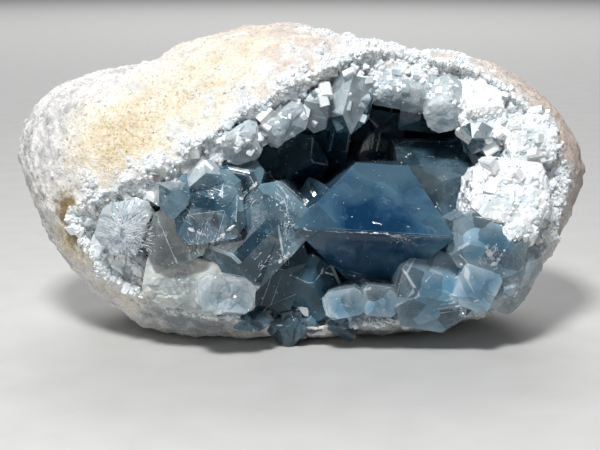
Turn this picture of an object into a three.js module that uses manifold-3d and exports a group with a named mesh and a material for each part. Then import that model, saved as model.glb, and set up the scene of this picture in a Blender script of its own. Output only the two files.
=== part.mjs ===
// A celestite geode: a potato-shaped nodule of pale rock, broken open at the front so that
// the crust of blocky blue crystals in its hollow shows. Millimetres, +Z up. The mouth
// faces -Y, and the nodule stands on a worn flat patch under its body.
import * as THREE from "three";
import { ConvexGeometry } from "three/addons/geometries/ConvexGeometry.js";
import { LoftGeometry } from "three/addons/geometries/LoftGeometry.js";
import { ImprovedNoise } from "three/addons/math/ImprovedNoise.js";
import { mergeVertices } from "three/addons/utils/BufferGeometryUtils.js";
import Module from "manifold-3d";

const wasm = await Module();
wasm.setup();

// The nodule's outline from the front, [x, z], clockwise from its left end.
const OUTLINE = [
  [-97.5, 60], [-95, 73], [-86, 83], [-70, 89], [-51, 93], [-36, 99.5], [-12, 105.5],
  [14, 102.5], [43, 96], [58, 95], [74, 88.5], [90, 73], [97.5, 57], [95, 40], [88, 25],
  [75, 9], [56, 1], [20, -3], [-20, -3.5], [-48, -2], [-66, 6], [-80, 19], [-90, 35],
];
const BODY_CENTRE = new THREE.Vector3(0, 0, 50);
const FRONT_DEPTH = 50;
const BACK_DEPTH = 53;
const FULLNESS = 2.3; // 2 is an ellipse in plan, and more is boxier
const SKIN_DETAIL = 12;
const SWELLS = { height: 2.2, wavelength: 34 };
const DIMPLES = { height: 1.0, wavelength: 12 };

// The broken mouth, [x, y, z] at the same places round it, clockwise from the left:
// where the rock skin stops, and where the broken wall meets the hollow.
const SKIN_EDGE = [
  [-74, -34, 43], [-61, -42, 54], [-41, -46, 64], [-23, -44, 76], [-6, -40, 86], [13, -30, 93.5],
  [28, -16, 97], [45, -13, 93], [61, -20, 88], [76, -24, 75], [87, -25, 58], [85, -26, 40],
  [77, -24, 22], [60, -26, 8], [30, -34, 9], [2, -34, 7.5], [-27, -38, 12], [-51, -36, 17],
  [-67, -33, 28],
];
const HOLLOW_EDGE = [
  [-60, -33, 42], [-51, -38, 49], [-37, -41, 57], [-21, -40, 66], [-5, -36, 75], [9, -28, 84],
  [20, -21, 89], [37, -20, 85.5], [52, -23, 77], [65, -26, 67], [72, -29, 54], [71, -31, 38],
  [64, -28, 21], [50, -28, 12], [28, -30, 12.5], [2, -30, 12.5], [-25, -34, 17], [-45, -34, 23],
  [-57, -32, 32],
];
const MOUTH_CENTRE = new THREE.Vector3(6, -30, 50);
const ROUND_MOUTH = 48; // facets round the mouth
const BREAK_LUMP = 4; // how deep the pits of the broken wall go
const BREAK_ROWS = 3; // rows of lumps between the skin and the hollow

// The hollow behind the mouth: depth, and its width and height as shares of the mouth's.
const HOLLOW = [
  { y: -10, wide: 1.07, high: 1.0 },
  { y: 12, wide: 1.04, high: 0.96 },
  { y: 32, wide: 0.7, high: 0.62 },
];
// The open air in front of the mouth, the same way. It clears the nodule's front.
const OPEN_AIR = [
  { y: -130, wide: 1.4, high: 1.35 },
  { y: -80, wide: 1.22, high: 1.2 },
];

// Pits in the skin beside the break.
const PITS = [
  { at: [-77, -36, 46], size: [9, 7, 4] },
  { at: [-83, -27, 37], size: [5, 6, 5] },
  { at: [90, -25, 44], size: [4, 5, 4] },
  { at: [17, -26, 93], size: [3, 8, 6] },
];

const CRUST_GAP = 1.4; // how far the crust's coarser rings stay off the rock
const CRUST_THICKNESS = 4;
const RESTS_ABOVE = 1.2; // the lowest crystal stays this far off the table

// Forms of celestite, a prism with a roof. Slopes of the two roof faces and of the hips at the
// ridge's ends are in degrees. The rest are shares: how far the hips reach in along the ridge,
// how much of the width and thickness each cut corner takes, how much more of the width the
// left corners take, and how far the top is blunted.
const HABIT = {
  wedge: { roof: 40 },
  plain: { roof: 15, hip: 25, reach: 0.3 },
  lens: { roof: 49, hip: 24, reach: 0.05, corner: [0.66, 0.98], skew: 0.12, blunt: 0.01 },
  block: { roof: 13, hip: 26, reach: 0.3, corner: [0.3, 0.36], blunt: 0.02 },
  chisel: { roof: 36, hip: 40, reach: 0.25, corner: [0.4, 0.5], blunt: 0.03 },
  slab: { roof: 18, hip: 12, reach: 0.2, corner: [0.16, 0.3], blunt: 0.02 },
  stump: { roof: 9, hip: 10, reach: 0.4, corner: [0.34, 0.4], blunt: 0.09 },
};

// The crystals that stand out: where the tip is, the way it grows, the turn of its ridge
// from level in degrees, and its width, thickness and length.
const GREAT_CRYSTALS = [
  // the floor, right of the middle
  { habit: "lens", tip: [23, -49, 43], grows: [0.02, -1, 0.08], turn: -4, size: [50, 39, 58] },
  { habit: "slab", tip: [51, -4, 66], grows: [0.02, -0.08, 1], turn: 2, size: [38, 36, 56] },
  { habit: "block", tip: [67, -5, 68], grows: [0.05, -0.1, 1], turn: 5, size: [15, 17, 40] },
  { habit: "chisel", tip: [43.5, -46.5, 21.5], grows: [0.12, -1, 0.05], turn: -12, size: [23, 26, 34] },
  { habit: "stump", tip: [14, -41, 17.5], grows: [-0.1, -1, 0.05], turn: 12, size: [13, 9, 22] },
  { habit: "stump", tip: [26, -42, 18.5], grows: [0.1, -1, 0.05], turn: -6, size: [12, 9.5, 22] },
  // the left side
  { habit: "block", tip: [-14, -46, 40], grows: [-0.1, -1, 0.14], turn: 47, size: [36, 23, 34] },
  { habit: "block", tip: [-9, -38, 22], grows: [0.12, -1, -0.3], turn: 74, size: [33, 18, 30] },
  { habit: "chisel", tip: [6, -37, 18], grows: [0.18, -1, -0.3], turn: 114, size: [27, 17, 30] },
  { habit: "block", tip: [-29, -48, 51], grows: [-0.1, -1, 0.22], turn: 8, size: [22, 22, 28] },
  { habit: "chisel", tip: [-20, -42, 61], grows: [-0.1, -1, 0.35], turn: -12, size: [16, 11, 24] },
  { habit: "stump", tip: [-40, -46, 41], grows: [-0.2, -1, 0.1], turn: 24, size: [20, 18, 26] },
  { habit: "block", tip: [-57, -43, 44], grows: [-0.3, -1, 0.15], turn: 72, size: [18, 16, 22] },
  { habit: "slab", tip: [-37, -43, 24], grows: [-0.12, -1, -0.1], turn: -12, size: [27, 18, 26] },
  { habit: "stump", tip: [-23, -48, 22.5], grows: [0.1, -1, 0.12], turn: -4, size: [18, 11, 26] },
  // the right side
  { habit: "chisel", tip: [60, -48, 38], grows: [0.05, -1, 0.12], turn: -14, size: [25, 18, 36] },
  { habit: "block", tip: [56.5, -45.5, 24], grows: [0.05, -1, 0.05], turn: 66, size: [15, 13, 28] },
  { habit: "chisel", tip: [70, -41, 25], grows: [0.25, -1, -0.05], turn: 62, size: [24, 17, 28] },
  { habit: "block", tip: [67, -40, 55], grows: [0.08, -1, 0.4], turn: -6, size: [24, 19, 28] },
  { habit: "chisel", tip: [68, -44, 42], grows: [0.1, -1, 0.2], turn: 30, size: [11, 10, 24] },
  { habit: "stump", tip: [75, -31, 69], grows: [0.15, -1, 0.1], turn: 12, size: [16, 15, 20] },
  // the edge of the roof
  { habit: "block", tip: [-18, -45, 68], grows: [0.06, -1, -0.5], turn: 20, size: [11, 10, 20] },
  { habit: "block", tip: [-5, -40, 74], grows: [0.1, -1, -0.4], turn: 34, size: [15, 9, 20] },
  { habit: "stump", tip: [14, -29, 83], grows: [0.05, -1, -0.6], turn: 80, size: [8, 6, 14] },
  { habit: "slab", tip: [33, -24, 81.5], grows: [0, -1, -0.4], turn: -12, size: [19, 8, 22] },
  { habit: "stump", tip: [47, -28, 76], grows: [-0.05, -1, -0.5], turn: 20, size: [12, 11, 16] },
  { habit: "block", tip: [59, -29, 75], grows: [0.05, -1, -0.5], turn: 10, size: [14, 9, 18] },
  // deep in the hollow
  { habit: "chisel", tip: [-2, -14, 56], grows: [0.25, -1, -0.1], turn: 30, size: [25, 20, 46] },
  { habit: "plain", tip: [9, -4, 66], grows: [0.05, -1, -0.25], turn: 82, size: [24, 17, 46] },
  { habit: "plain", tip: [5, -24, 45], grows: [0.05, -1, 0.4], turn: 60, size: [19, 15, 44] },
  { habit: "plain", tip: [28, 8, 64], grows: [0, -1, 0.1], turn: 80, size: [20, 17, 34] },
  { habit: "plain", tip: [42, 0, 75], grows: [0.05, -1, -0.15], turn: 84, size: [16, 14, 40] },
];

// The lesser crystals that fill the crust, by size, and how many of each.
const LESSER_CRYSTALS = [
  { count: 20, width: 12, length: 13, habit: "wedge" },
  { count: 18, width: 8, length: 10, habit: "wedge" },
  { count: 8, width: 6, length: 8, habit: "wedge" },
];

// A repeatable run of numbers from 0 to 1.
function numbers(seed) {
  let state = seed;
  return () => {
    state = (state + 0x6d2b79f5) | 0;
    let t = Math.imul(state ^ (state >>> 15), 1 | state);
    t = (t + Math.imul(t ^ (t >>> 7), 61 | t)) ^ t;
    return ((t ^ (t >>> 14)) >>> 0) / 4294967296;
  };
}

// A closed three.js geometry as a solid.
function solidOf(geometry) {
  const bare = geometry.index ? geometry.toNonIndexed() : geometry.clone();
  bare.deleteAttribute("normal");
  bare.deleteAttribute("uv");
  const merged = mergeVertices(bare, 1e-4);
  return new wasm.Manifold(
    new wasm.Mesh({
      numProp: 3,
      vertProperties: new Float32Array(merged.attributes.position.array),
      triVerts: new Uint32Array(merged.index.array),
    }),
  );
}

// A solid back as a three.js geometry.
function geometryOf(solid) {
  const mesh = solid.getMesh();
  const geometry = new THREE.BufferGeometry();
  geometry.setAttribute("position", new THREE.BufferAttribute(mesh.vertProperties, 3));
  geometry.setIndex(new THREE.BufferAttribute(mesh.triVerts, 1));
  geometry.computeVertexNormals();
  return geometry;
}

// The outline's distance from the body's centre, for any angle round the Y axis.
function outlineRadius() {
  const points = OUTLINE.map(([x, z]) => new THREE.Vector3(x, 0, z));
  const around = new THREE.CatmullRomCurve3(points, true).getPoints(720).map((p) => {
    const from = p.sub(BODY_CENTRE);
    return { angle: Math.atan2(from.z, from.x), radius: Math.hypot(from.x, from.z) };
  });
  around.sort((a, b) => a.angle - b.angle);
  return (angle) => {
    const after = around.findIndex((p) => p.angle >= angle);
    const b = around[after < 0 ? 0 : after];
    const a = around[after <= 0 ? around.length - 1 : after - 1];
    const share = after > 0 ? (angle - a.angle) / (b.angle - a.angle || 1) : 0.5;
    return THREE.MathUtils.lerp(a.radius, b.radius, share);
  };
}

// The whole nodule before it was broken, with its swells and dimples.
function nodule() {
  const radiusAt = outlineRadius();
  const noise = new ImprovedNoise();
  const geometry = new THREE.IcosahedronGeometry(1, SKIN_DETAIL);
  const position = geometry.attributes.position;
  const relief = (p, { height, wavelength }, offset) =>
    height * noise.noise(p.x / wavelength + offset, p.y / wavelength, p.z / wavelength);
  for (let i = 0; i < position.count; i++) {
    const d = new THREE.Vector3().fromBufferAttribute(position, i).normalize();
    const out = Math.hypot(d.x, d.z) ** (2 / FULLNESS);
    const deep = Math.abs(d.y) ** (2 / FULLNESS) * (d.y < 0 ? -FRONT_DEPTH : BACK_DEPTH);
    const angle = Math.atan2(d.z, d.x);
    const p = new THREE.Vector3(Math.cos(angle) * out, 0, Math.sin(angle) * out)
      .multiplyScalar(radiusAt(angle))
      .setY(deep);
    const swell = relief(p, SWELLS, 7.3) + relief(p, DIMPLES, 2.1);
    p.addScaledVector(d, swell).add(BODY_CENTRE);
    position.setXYZ(i, p.x, p.y, p.z);
  }
  return solidOf(geometry);
}

// A ring round the mouth through the given points.
function ring(points) {
  const curve = new THREE.CatmullRomCurve3(
    points.map((p) => new THREE.Vector3(...p)),
    true,
    "centripetal",
  );
  return Array.from({ length: ROUND_MOUTH }, (_, i) => curve.getPoint(i / ROUND_MOUTH));
}

// A ring scaled about the mouth's centre and set at one depth.
function scaledRing(points, { y, wide, high }) {
  return points.map((p) =>
    p.clone().sub(MOUTH_CENTRE).multiply(new THREE.Vector3(wide, 0, high)).add(MOUTH_CENTRE).setY(y),
  );
}

// The rings of the space that the break opened, from the open air to the back of the hollow,
// drawn in by inset from the rock, and with the lumps of the broken wall.
function hollowRings(inset, lump) {
  const skin = ring(SKIN_EDGE);
  const hollow = ring(HOLLOW_EDGE);
  const next = numbers(11);
  const band = Array.from({ length: BREAK_ROWS }, (_, row) =>
    skin.map((p, i) => {
      const spot = p.clone().lerp(hollow[i], (row + 1) / (BREAK_ROWS + 1));
      return spot.add(new THREE.Vector3(next() - 0.5, next(), next() - 0.5).multiplyScalar(lump));
    }),
  );
  const rings = [
    ...OPEN_AIR.map((place) => scaledRing(skin, place)),
    skin,
    ...band,
    hollow,
    ...HOLLOW.map((place) => scaledRing(hollow, place)),
  ];
  const away = MOUTH_CENTRE.clone().setY(-80);
  return rings.map((points) =>
    points.map((p) => p.clone().addScaledVector(away.clone().sub(p).normalize(), inset)),
  );
}

// Rings as a closed solid.
function lofted(rings) {
  const solid = solidOf(new LoftGeometry(rings, { capStart: true, capEnd: true }));
  if (solid.volume() > 0) return solid;
  const turned = rings.map((points) => [...points].reverse());
  return solidOf(new LoftGeometry(turned, { capStart: true, capEnd: true }));
}

// One crystal: the hull of the points where three of its faces meet inside all the others.
function crystal({ habit, tip, grows, turn, size: [width, thickness, length] }) {
  const { roof, hip, reach, corner, skew = 0, blunt } = HABIT[habit];
  const [halfWidth, halfThick] = [width / 2, thickness / 2];
  const slope = (degrees) => Math.tan(THREE.MathUtils.degToRad(degrees));
  const faces = [];
  for (const side of [-1, 1]) {
    faces.push([side, 0, 0, halfWidth], [0, side, 0, halfThick]);
    faces.push([0, side * slope(roof), 1, 0]);
    if (hip) faces.push([side * slope(hip), 0, 1, slope(hip) * halfWidth * (1 - 2 * reach)]);
    for (const end of corner ? [-1, 1] : []) {
      const u = 1 / (halfWidth * (corner[0] - side * skew));
      const v = 1 / (halfThick * corner[1]);
      faces.push([side * u, end * v, 0, u * halfWidth + v * halfThick - 1]);
    }
  }
  faces.push([0, 0, -1, length]);
  if (blunt) faces.push([0, 0, 1, -blunt * thickness]);

  const corners = [];
  const planes = faces.map(([a, b, c, d]) => ({ n: new THREE.Vector3(a, b, c), d }));
  for (let i = 0; i < planes.length; i++)
    for (let j = i + 1; j < planes.length; j++)
      for (let k = j + 1; k < planes.length; k++) {
        const [p, q, r] = [planes[i], planes[j], planes[k]];
        const qr = q.n.clone().cross(r.n);
        const volume = p.n.dot(qr);
        if (Math.abs(volume) < 1e-9) continue;
        const point = qr
          .multiplyScalar(p.d)
          .addScaledVector(r.n.clone().cross(p.n), q.d)
          .addScaledVector(p.n.clone().cross(q.n), r.d)
          .divideScalar(volume);
        if (planes.every(({ n, d }) => n.dot(point) <= d + 1e-6)) corners.push(point);
      }

  const up = new THREE.Vector3(...grows).normalize();
  const level = new THREE.Vector3(0, 0, 1).cross(up);
  if (level.length() < 0.2) level.set(1, 0, 0);
  level.addScaledVector(up, -level.dot(up)).normalize();
  level.applyAxisAngle(up, THREE.MathUtils.degToRad(turn));
  const frame = new THREE.Matrix4().makeBasis(level, up.clone().cross(level), up);
  frame.setPosition(...tip);
  return solidOf(new ConvexGeometry(corners.map((c) => c.applyMatrix4(frame))));
}

// The lesser crystals, grown at random places on the hollow's wall towards its middle.
function lesserCrystals(rings) {
  const next = numbers(29);
  const wall = rings.slice(OPEN_AIR.length + BREAK_ROWS);
  const middle = new THREE.Vector3(8, -16, 50);
  const made = [];
  for (const { count, width, length, habit } of LESSER_CRYSTALS)
    for (let i = 0; i < count; i++) {
      const row = Math.floor(next() * (wall.length - 1));
      const along = Math.floor(next() * wall[row].length);
      const root = wall[row][along].clone().lerp(wall[row + 1][along], next());
      const grows = middle.clone().sub(root).normalize();
      grows.add(new THREE.Vector3(next() - 0.5, next() - 0.5, next() - 0.5).multiplyScalar(0.9));
      grows.normalize();
      const scale = 0.75 + 0.5 * next();
      const tip = root.clone().addScaledVector(grows, length * scale);
      const size = [width * scale, width * scale * (0.6 + 0.35 * next()), length * scale + 3];
      made.push(crystal({ habit, tip, grows, turn: 180 * next(), size }));
    }
  return made;
}

// One rough lump: the hull of points set by chance on a ball that is stretched to size.
function lump([x, y, z], [wide, deep, high], next) {
  const points = Array.from({ length: 11 }, () => {
    const level = 2 * next() - 1;
    const on = new THREE.Vector3().setFromCylindricalCoords(
      Math.sqrt(1 - level * level), 2 * Math.PI * next(), level,
    );
    return on.multiply(new THREE.Vector3(wide, deep, high)).add(new THREE.Vector3(x, y, z));
  });
  return solidOf(new ConvexGeometry(points));
}

// The rock: the nodule, opened by the break and worn flat where it stands.
function rind() {
  const next = numbers(17);
  const pits = PITS.map(({ at, size }) => lump(at, size, next));
  const broken = nodule().subtract(lofted(hollowRings(0, BREAK_LUMP)));
  return broken.subtract(wasm.Manifold.union(pits)).trimByPlane([0, 0, 1], 0).simplify(0.05);
}

// The crust: a lining of the hollow, with every crystal joined to it, clear of the rock.
function crust() {
  const coarse = (rings) => rings.map((points) => points.filter((_, i) => i % 2 === 0));
  const outer = coarse(hollowRings(CRUST_GAP, 0));
  const inner = coarse(hollowRings(CRUST_GAP + CRUST_THICKNESS, 0));
  const space = lofted(outer).trimByPlane([0, 0, 1], RESTS_ABOVE);
  const lining = lofted(outer.slice(OPEN_AIR.length + BREAK_ROWS + 1)).subtract(lofted(inner));
  const crystals = [...GREAT_CRYSTALS.map(crystal), ...lesserCrystals(outer)];
  const joined = wasm.Manifold.union([lining, ...crystals]).intersect(space);
  const pieces = joined.simplify(0.1).decompose();
  return pieces.sort((a, b) => b.volume() - a.volume())[0];
}

// A named mesh for a solid.
function piece(name, solid, finish) {
  const mesh = new THREE.Mesh(geometryOf(solid), new THREE.MeshStandardMaterial(finish));
  mesh.name = name;
  return mesh;
}

const geode = new THREE.Group();
geode.add(piece("rind", rind(), { color: 0xe4dccb, roughness: 0.9, metalness: 0 }));
geode.add(piece("crystal_crust", crust(), { color: 0x7f9fb6, roughness: 0.2, metalness: 0 }));

// The part's origin is the middle of its footprint, on the table.
const box = new THREE.Box3().setFromObject(geode);
const middle = box.getCenter(new THREE.Vector3());
geode.position.set(-middle.x, -middle.y, -box.min.z);

export default geode;
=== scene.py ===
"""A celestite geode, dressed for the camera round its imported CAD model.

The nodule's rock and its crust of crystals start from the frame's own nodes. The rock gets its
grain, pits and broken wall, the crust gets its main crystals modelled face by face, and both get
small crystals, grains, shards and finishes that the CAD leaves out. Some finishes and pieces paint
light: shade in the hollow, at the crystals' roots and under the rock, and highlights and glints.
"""

import logging
import math
import random
from dataclasses import dataclass, field
from enum import Enum
from typing import Iterable, Sequence

import bmesh
import bpy
import numpy as np
from mathutils import Matrix, Vector, noise
from mathutils.bvhtree import BVHTree


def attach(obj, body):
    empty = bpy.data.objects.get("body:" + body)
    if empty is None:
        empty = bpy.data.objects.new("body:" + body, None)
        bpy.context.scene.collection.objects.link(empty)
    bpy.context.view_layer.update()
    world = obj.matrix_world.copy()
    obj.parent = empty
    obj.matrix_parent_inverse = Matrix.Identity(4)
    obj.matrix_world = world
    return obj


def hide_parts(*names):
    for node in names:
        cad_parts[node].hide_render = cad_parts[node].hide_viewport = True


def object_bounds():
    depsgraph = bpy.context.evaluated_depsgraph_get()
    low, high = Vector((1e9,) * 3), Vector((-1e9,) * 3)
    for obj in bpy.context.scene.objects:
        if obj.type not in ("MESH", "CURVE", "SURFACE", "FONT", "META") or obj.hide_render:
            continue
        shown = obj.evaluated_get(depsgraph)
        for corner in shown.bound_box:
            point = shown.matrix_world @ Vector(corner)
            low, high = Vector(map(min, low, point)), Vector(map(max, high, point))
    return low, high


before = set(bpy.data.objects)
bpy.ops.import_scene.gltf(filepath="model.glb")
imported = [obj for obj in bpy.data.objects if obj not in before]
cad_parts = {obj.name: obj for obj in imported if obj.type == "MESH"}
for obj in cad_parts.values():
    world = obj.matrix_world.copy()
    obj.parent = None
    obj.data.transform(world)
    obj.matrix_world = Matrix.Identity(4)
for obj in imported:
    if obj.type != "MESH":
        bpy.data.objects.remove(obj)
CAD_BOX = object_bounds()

log = logging.getLogger("geode")

MM = 0.001
# The part is drawn with its own centre, and the frame's origin is the middle of its footprint.
DRAWING_TO_FRAME = Vector((-0.18, -1.61, 0.0))
ROOT_BODY = "root"
BOX_MARGIN = 0.05  # how far every piece stays inside the CAD box, in millimetres
# Crystals and lining behind SHADE_LINE take the darker SHADED finish: painted shade.
SHADE_LINE = -28.0  # what lies behind this y is in the hollow's shade
BRUISED_ABOVE = 33.0  # frosted crystals above this height are broken up most
OWNED_WITHIN = 0.9  # a face this near a great crystal's own surface is part of it
ALONG = 0.997  # the cosine above which a face lies along one of the crystal's own
CRYSTAL_IOR = 1.63
GRAIN_IOR = 1.62

Triple = tuple[float, float, float]
Shape = tuple[np.ndarray, list[list[int]]]

# The ring where the rock skin stops round the broken mouth, in drawing millimetres, as in the CAD.
SKIN_EDGE: list[Triple] = [
    (-74, -34, 43), (-61, -42, 54), (-41, -46, 64), (-23, -44, 76), (-6, -40, 86),
    (13, -30, 93.5), (28, -16, 97), (45, -13, 93), (61, -20, 88), (76, -24, 75),
    (87, -25, 58), (85, -26, 40), (77, -24, 22), (60, -26, 8), (30, -34, 9), (2, -34, 7.5),
    (-27, -38, 12), (-51, -36, 17), (-67, -33, 28),
]


def deselect() -> None:
    """Clears the selection and leaves edit mode."""
    if bpy.context.object and bpy.context.object.mode != "OBJECT":
        bpy.ops.object.mode_set(mode="OBJECT")
    bpy.ops.object.select_all(action="DESELECT")


def activate(obj: bpy.types.Object) -> None:
    """Makes one object the only one selected."""
    deselect()
    obj.select_set(True)
    bpy.context.view_layer.objects.active = obj


def modify(obj: bpy.types.Object, kind: str, **settings: object) -> None:
    """Adds a modifier to an object and applies it at once.

    Args:
        obj: The object to change.
        kind: The modifier's type.
        settings: Values for the modifier's properties.
    """
    activate(obj)
    modifier = obj.modifiers.new(kind.title(), kind)
    for name, value in settings.items():
        setattr(modifier, name, value)
    bpy.ops.object.modifier_apply(modifier=modifier.name)


def copy_of_node(node: str, name: str) -> bpy.types.Object:
    """Copies a CAD node and merges its loose triangles into one closed mesh.

    Args:
        node: The CAD node's name.
        name: The copy's name.

    Returns:
        The copy, with no material.
    """
    obj = bpy.data.objects.new(name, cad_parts[node].data.copy())
    bpy.context.scene.collection.objects.link(obj)
    obj.data.name = name
    obj.data.materials.clear()
    activate(obj)
    bpy.ops.object.mode_set(mode="EDIT")
    bpy.ops.mesh.select_all(action="SELECT")
    bpy.ops.mesh.remove_doubles(threshold=0.002 * MM)
    bpy.ops.object.mode_set(mode="OBJECT")
    bpy.ops.mesh.customdata_custom_splitnormals_clear()
    return obj


def mesh_object(name: str, points: np.ndarray, faces: Sequence[Sequence[int]]) -> bpy.types.Object:
    """Makes an object from arrays of points and faces.

    Args:
        name: The object's name.
        points: Points in frame metres, one row each.
        faces: Point numbers of each face.

    Returns:
        The new object.
    """
    mesh = bpy.data.meshes.new(name)
    mesh.from_pydata(points.tolist(), [], faces)
    mesh.update()
    obj = bpy.data.objects.new(name, mesh)
    bpy.context.scene.collection.objects.link(obj)
    return obj


def points_of(obj: bpy.types.Object) -> np.ndarray:
    """Gives a mesh's points in frame millimetres."""
    flat = np.empty(len(obj.data.vertices) * 3)
    obj.data.vertices.foreach_get("co", flat)
    return flat.reshape(-1, 3) / MM


def faces_of(obj: bpy.types.Object) -> tuple[np.ndarray, np.ndarray, np.ndarray]:
    """Gives the middles in frame millimetres, outward directions and areas of a mesh's faces."""
    polygons = obj.data.polygons
    centre, normal, area = (np.empty(len(polygons) * n) for n in (3, 3, 1))
    polygons.foreach_get("center", centre)
    polygons.foreach_get("normal", normal)
    polygons.foreach_get("area", area)
    return centre.reshape(-1, 3) / MM, normal.reshape(-1, 3), area / MM ** 2


def slots_of(obj: bpy.types.Object) -> np.ndarray:
    """Gives the number of the material that each of a mesh's faces takes."""
    numbers = np.empty(len(obj.data.polygons), np.int32)
    obj.data.polygons.foreach_get("material_index", numbers)
    return numbers


def store(obj: bpy.types.Object, name: str, values: np.ndarray, kind: str = "FLOAT",
          domain: str = "POINT") -> None:
    """Stores a number or vector for each point or corner of a mesh, which materials read."""
    layer = obj.data.attributes.new(name, kind, domain)
    layer.data.foreach_set("value" if kind == "FLOAT" else "vector",
                           values.astype(np.float32).ravel())


def finish_piece(obj: bpy.types.Object, node: str, materials: Iterable,
                 numbers: Sequence[int] | None = None) -> None:
    """Keeps a piece in the CAD box, gives it its materials and ties it to the frame.

    Args:
        obj: The finished piece.
        node: The CAD node it stands for, or "" if it only adds to one.
        materials: Its materials in order.
        numbers: Which of them each face takes, or None if all take the first.
    """
    low, high = (np.array(corner) for corner in CAD_BOX)
    inside = np.clip(points_of(obj) * MM, low + BOX_MARGIN * MM, high - BOX_MARGIN * MM)
    obj.data.vertices.foreach_set("co", inside.ravel())
    obj.data.materials.clear()
    for material in materials:
        obj.data.materials.append(material)
    if numbers is not None:
        obj.data.polygons.foreach_set("material_index", numbers)
    obj.data.update()
    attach(obj, ROOT_BODY)
    if node:
        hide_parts(node)
    triangles = sum(len(p.vertices) - 2 for p in obj.data.polygons)
    log.info("%s: %d triangles", obj.name, triangles)


def linear(colour: str) -> tuple[float, float, float, float]:
    """Turns an sRGB hex colour to linear red, green, blue and alpha."""
    parts = [int(colour[i:i + 2], 16) / 255 for i in (1, 3, 5)]
    return (*[p / 12.92 if p <= 0.04045 else ((p + 0.055) / 1.055) ** 2.4 for p in parts], 1.0)


def add_node(tree: bpy.types.NodeTree, kind: str, links: dict | None = None,
             **settings: object) -> bpy.types.bpy_prop_collection:
    """Adds a shader node with its settings, values and links.

    Args:
        tree: The material's node tree.
        kind: The node's type, less its "ShaderNode" prefix.
        links: A value, colour or output socket for each input, by name or number. The key
            "ramp" holds a colour ramp's stops as (place, hex colour or grey).
        settings: Values for the node's properties.

    Returns:
        The new node's outputs.
    """
    node = tree.nodes.new("ShaderNode" + kind)
    for name, value in settings.items():
        setattr(node, name, value)
    for key, value in (links or {}).items():
        if key == "ramp":
            stops = node.color_ramp.elements
            while len(stops) < len(value):
                stops.new(0.5)
            for stop, (place, colour) in zip(stops, value):
                stop.position = place
                stop.color = linear(colour) if isinstance(colour, str) else (colour,) * 3 + (1,)
        elif isinstance(value, bpy.types.NodeSocket):
            tree.links.new(value, node.inputs[key])
        elif isinstance(value, str):
            node.inputs[key].default_value = linear(value)
        else:
            node.inputs[key].default_value = value
    return node.outputs


def new_material(name: str) -> tuple[bpy.types.Material, bpy.types.NodeTree]:
    """Makes an empty node material and gives it with its tree."""
    material = bpy.data.materials.new(name)
    material.use_nodes = True
    material.node_tree.nodes.clear()
    return material, material.node_tree


def per_mm(millimetres: float) -> float:
    """Gives the noise scale whose features are about this many millimetres wide."""
    return 1 / (millimetres * MM)


def cut(point: Vector, normal: Vector) -> None:
    """Cuts the mesh in edit mode by a plane, drops what is outside and closes the cut."""
    bpy.ops.mesh.select_all(action="SELECT")
    bpy.ops.mesh.bisect(plane_co=point, plane_no=normal, use_fill=True, clear_outer=True,
                        threshold=0.0005)


def cut_block(size: Triple, planes: Iterable[tuple[Vector, float]]) -> bpy.types.Object:
    """Cuts a block by planes and leaves it in edit mode.

    Args:
        size: The block's width, thickness and length, with the middle of its top at the origin.
        planes: The outward direction and distance of each cut.

    Returns:
        The block's object.
    """
    deselect()
    bpy.ops.mesh.primitive_cube_add(size=1, location=(0, 0, -size[2] / 2), scale=size)
    bpy.ops.object.transform_apply(location=True, rotation=True, scale=True)
    bpy.ops.object.mode_set(mode="EDIT")
    for normal, distance in planes:
        cut(normal * distance, normal)
    return bpy.context.object


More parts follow.
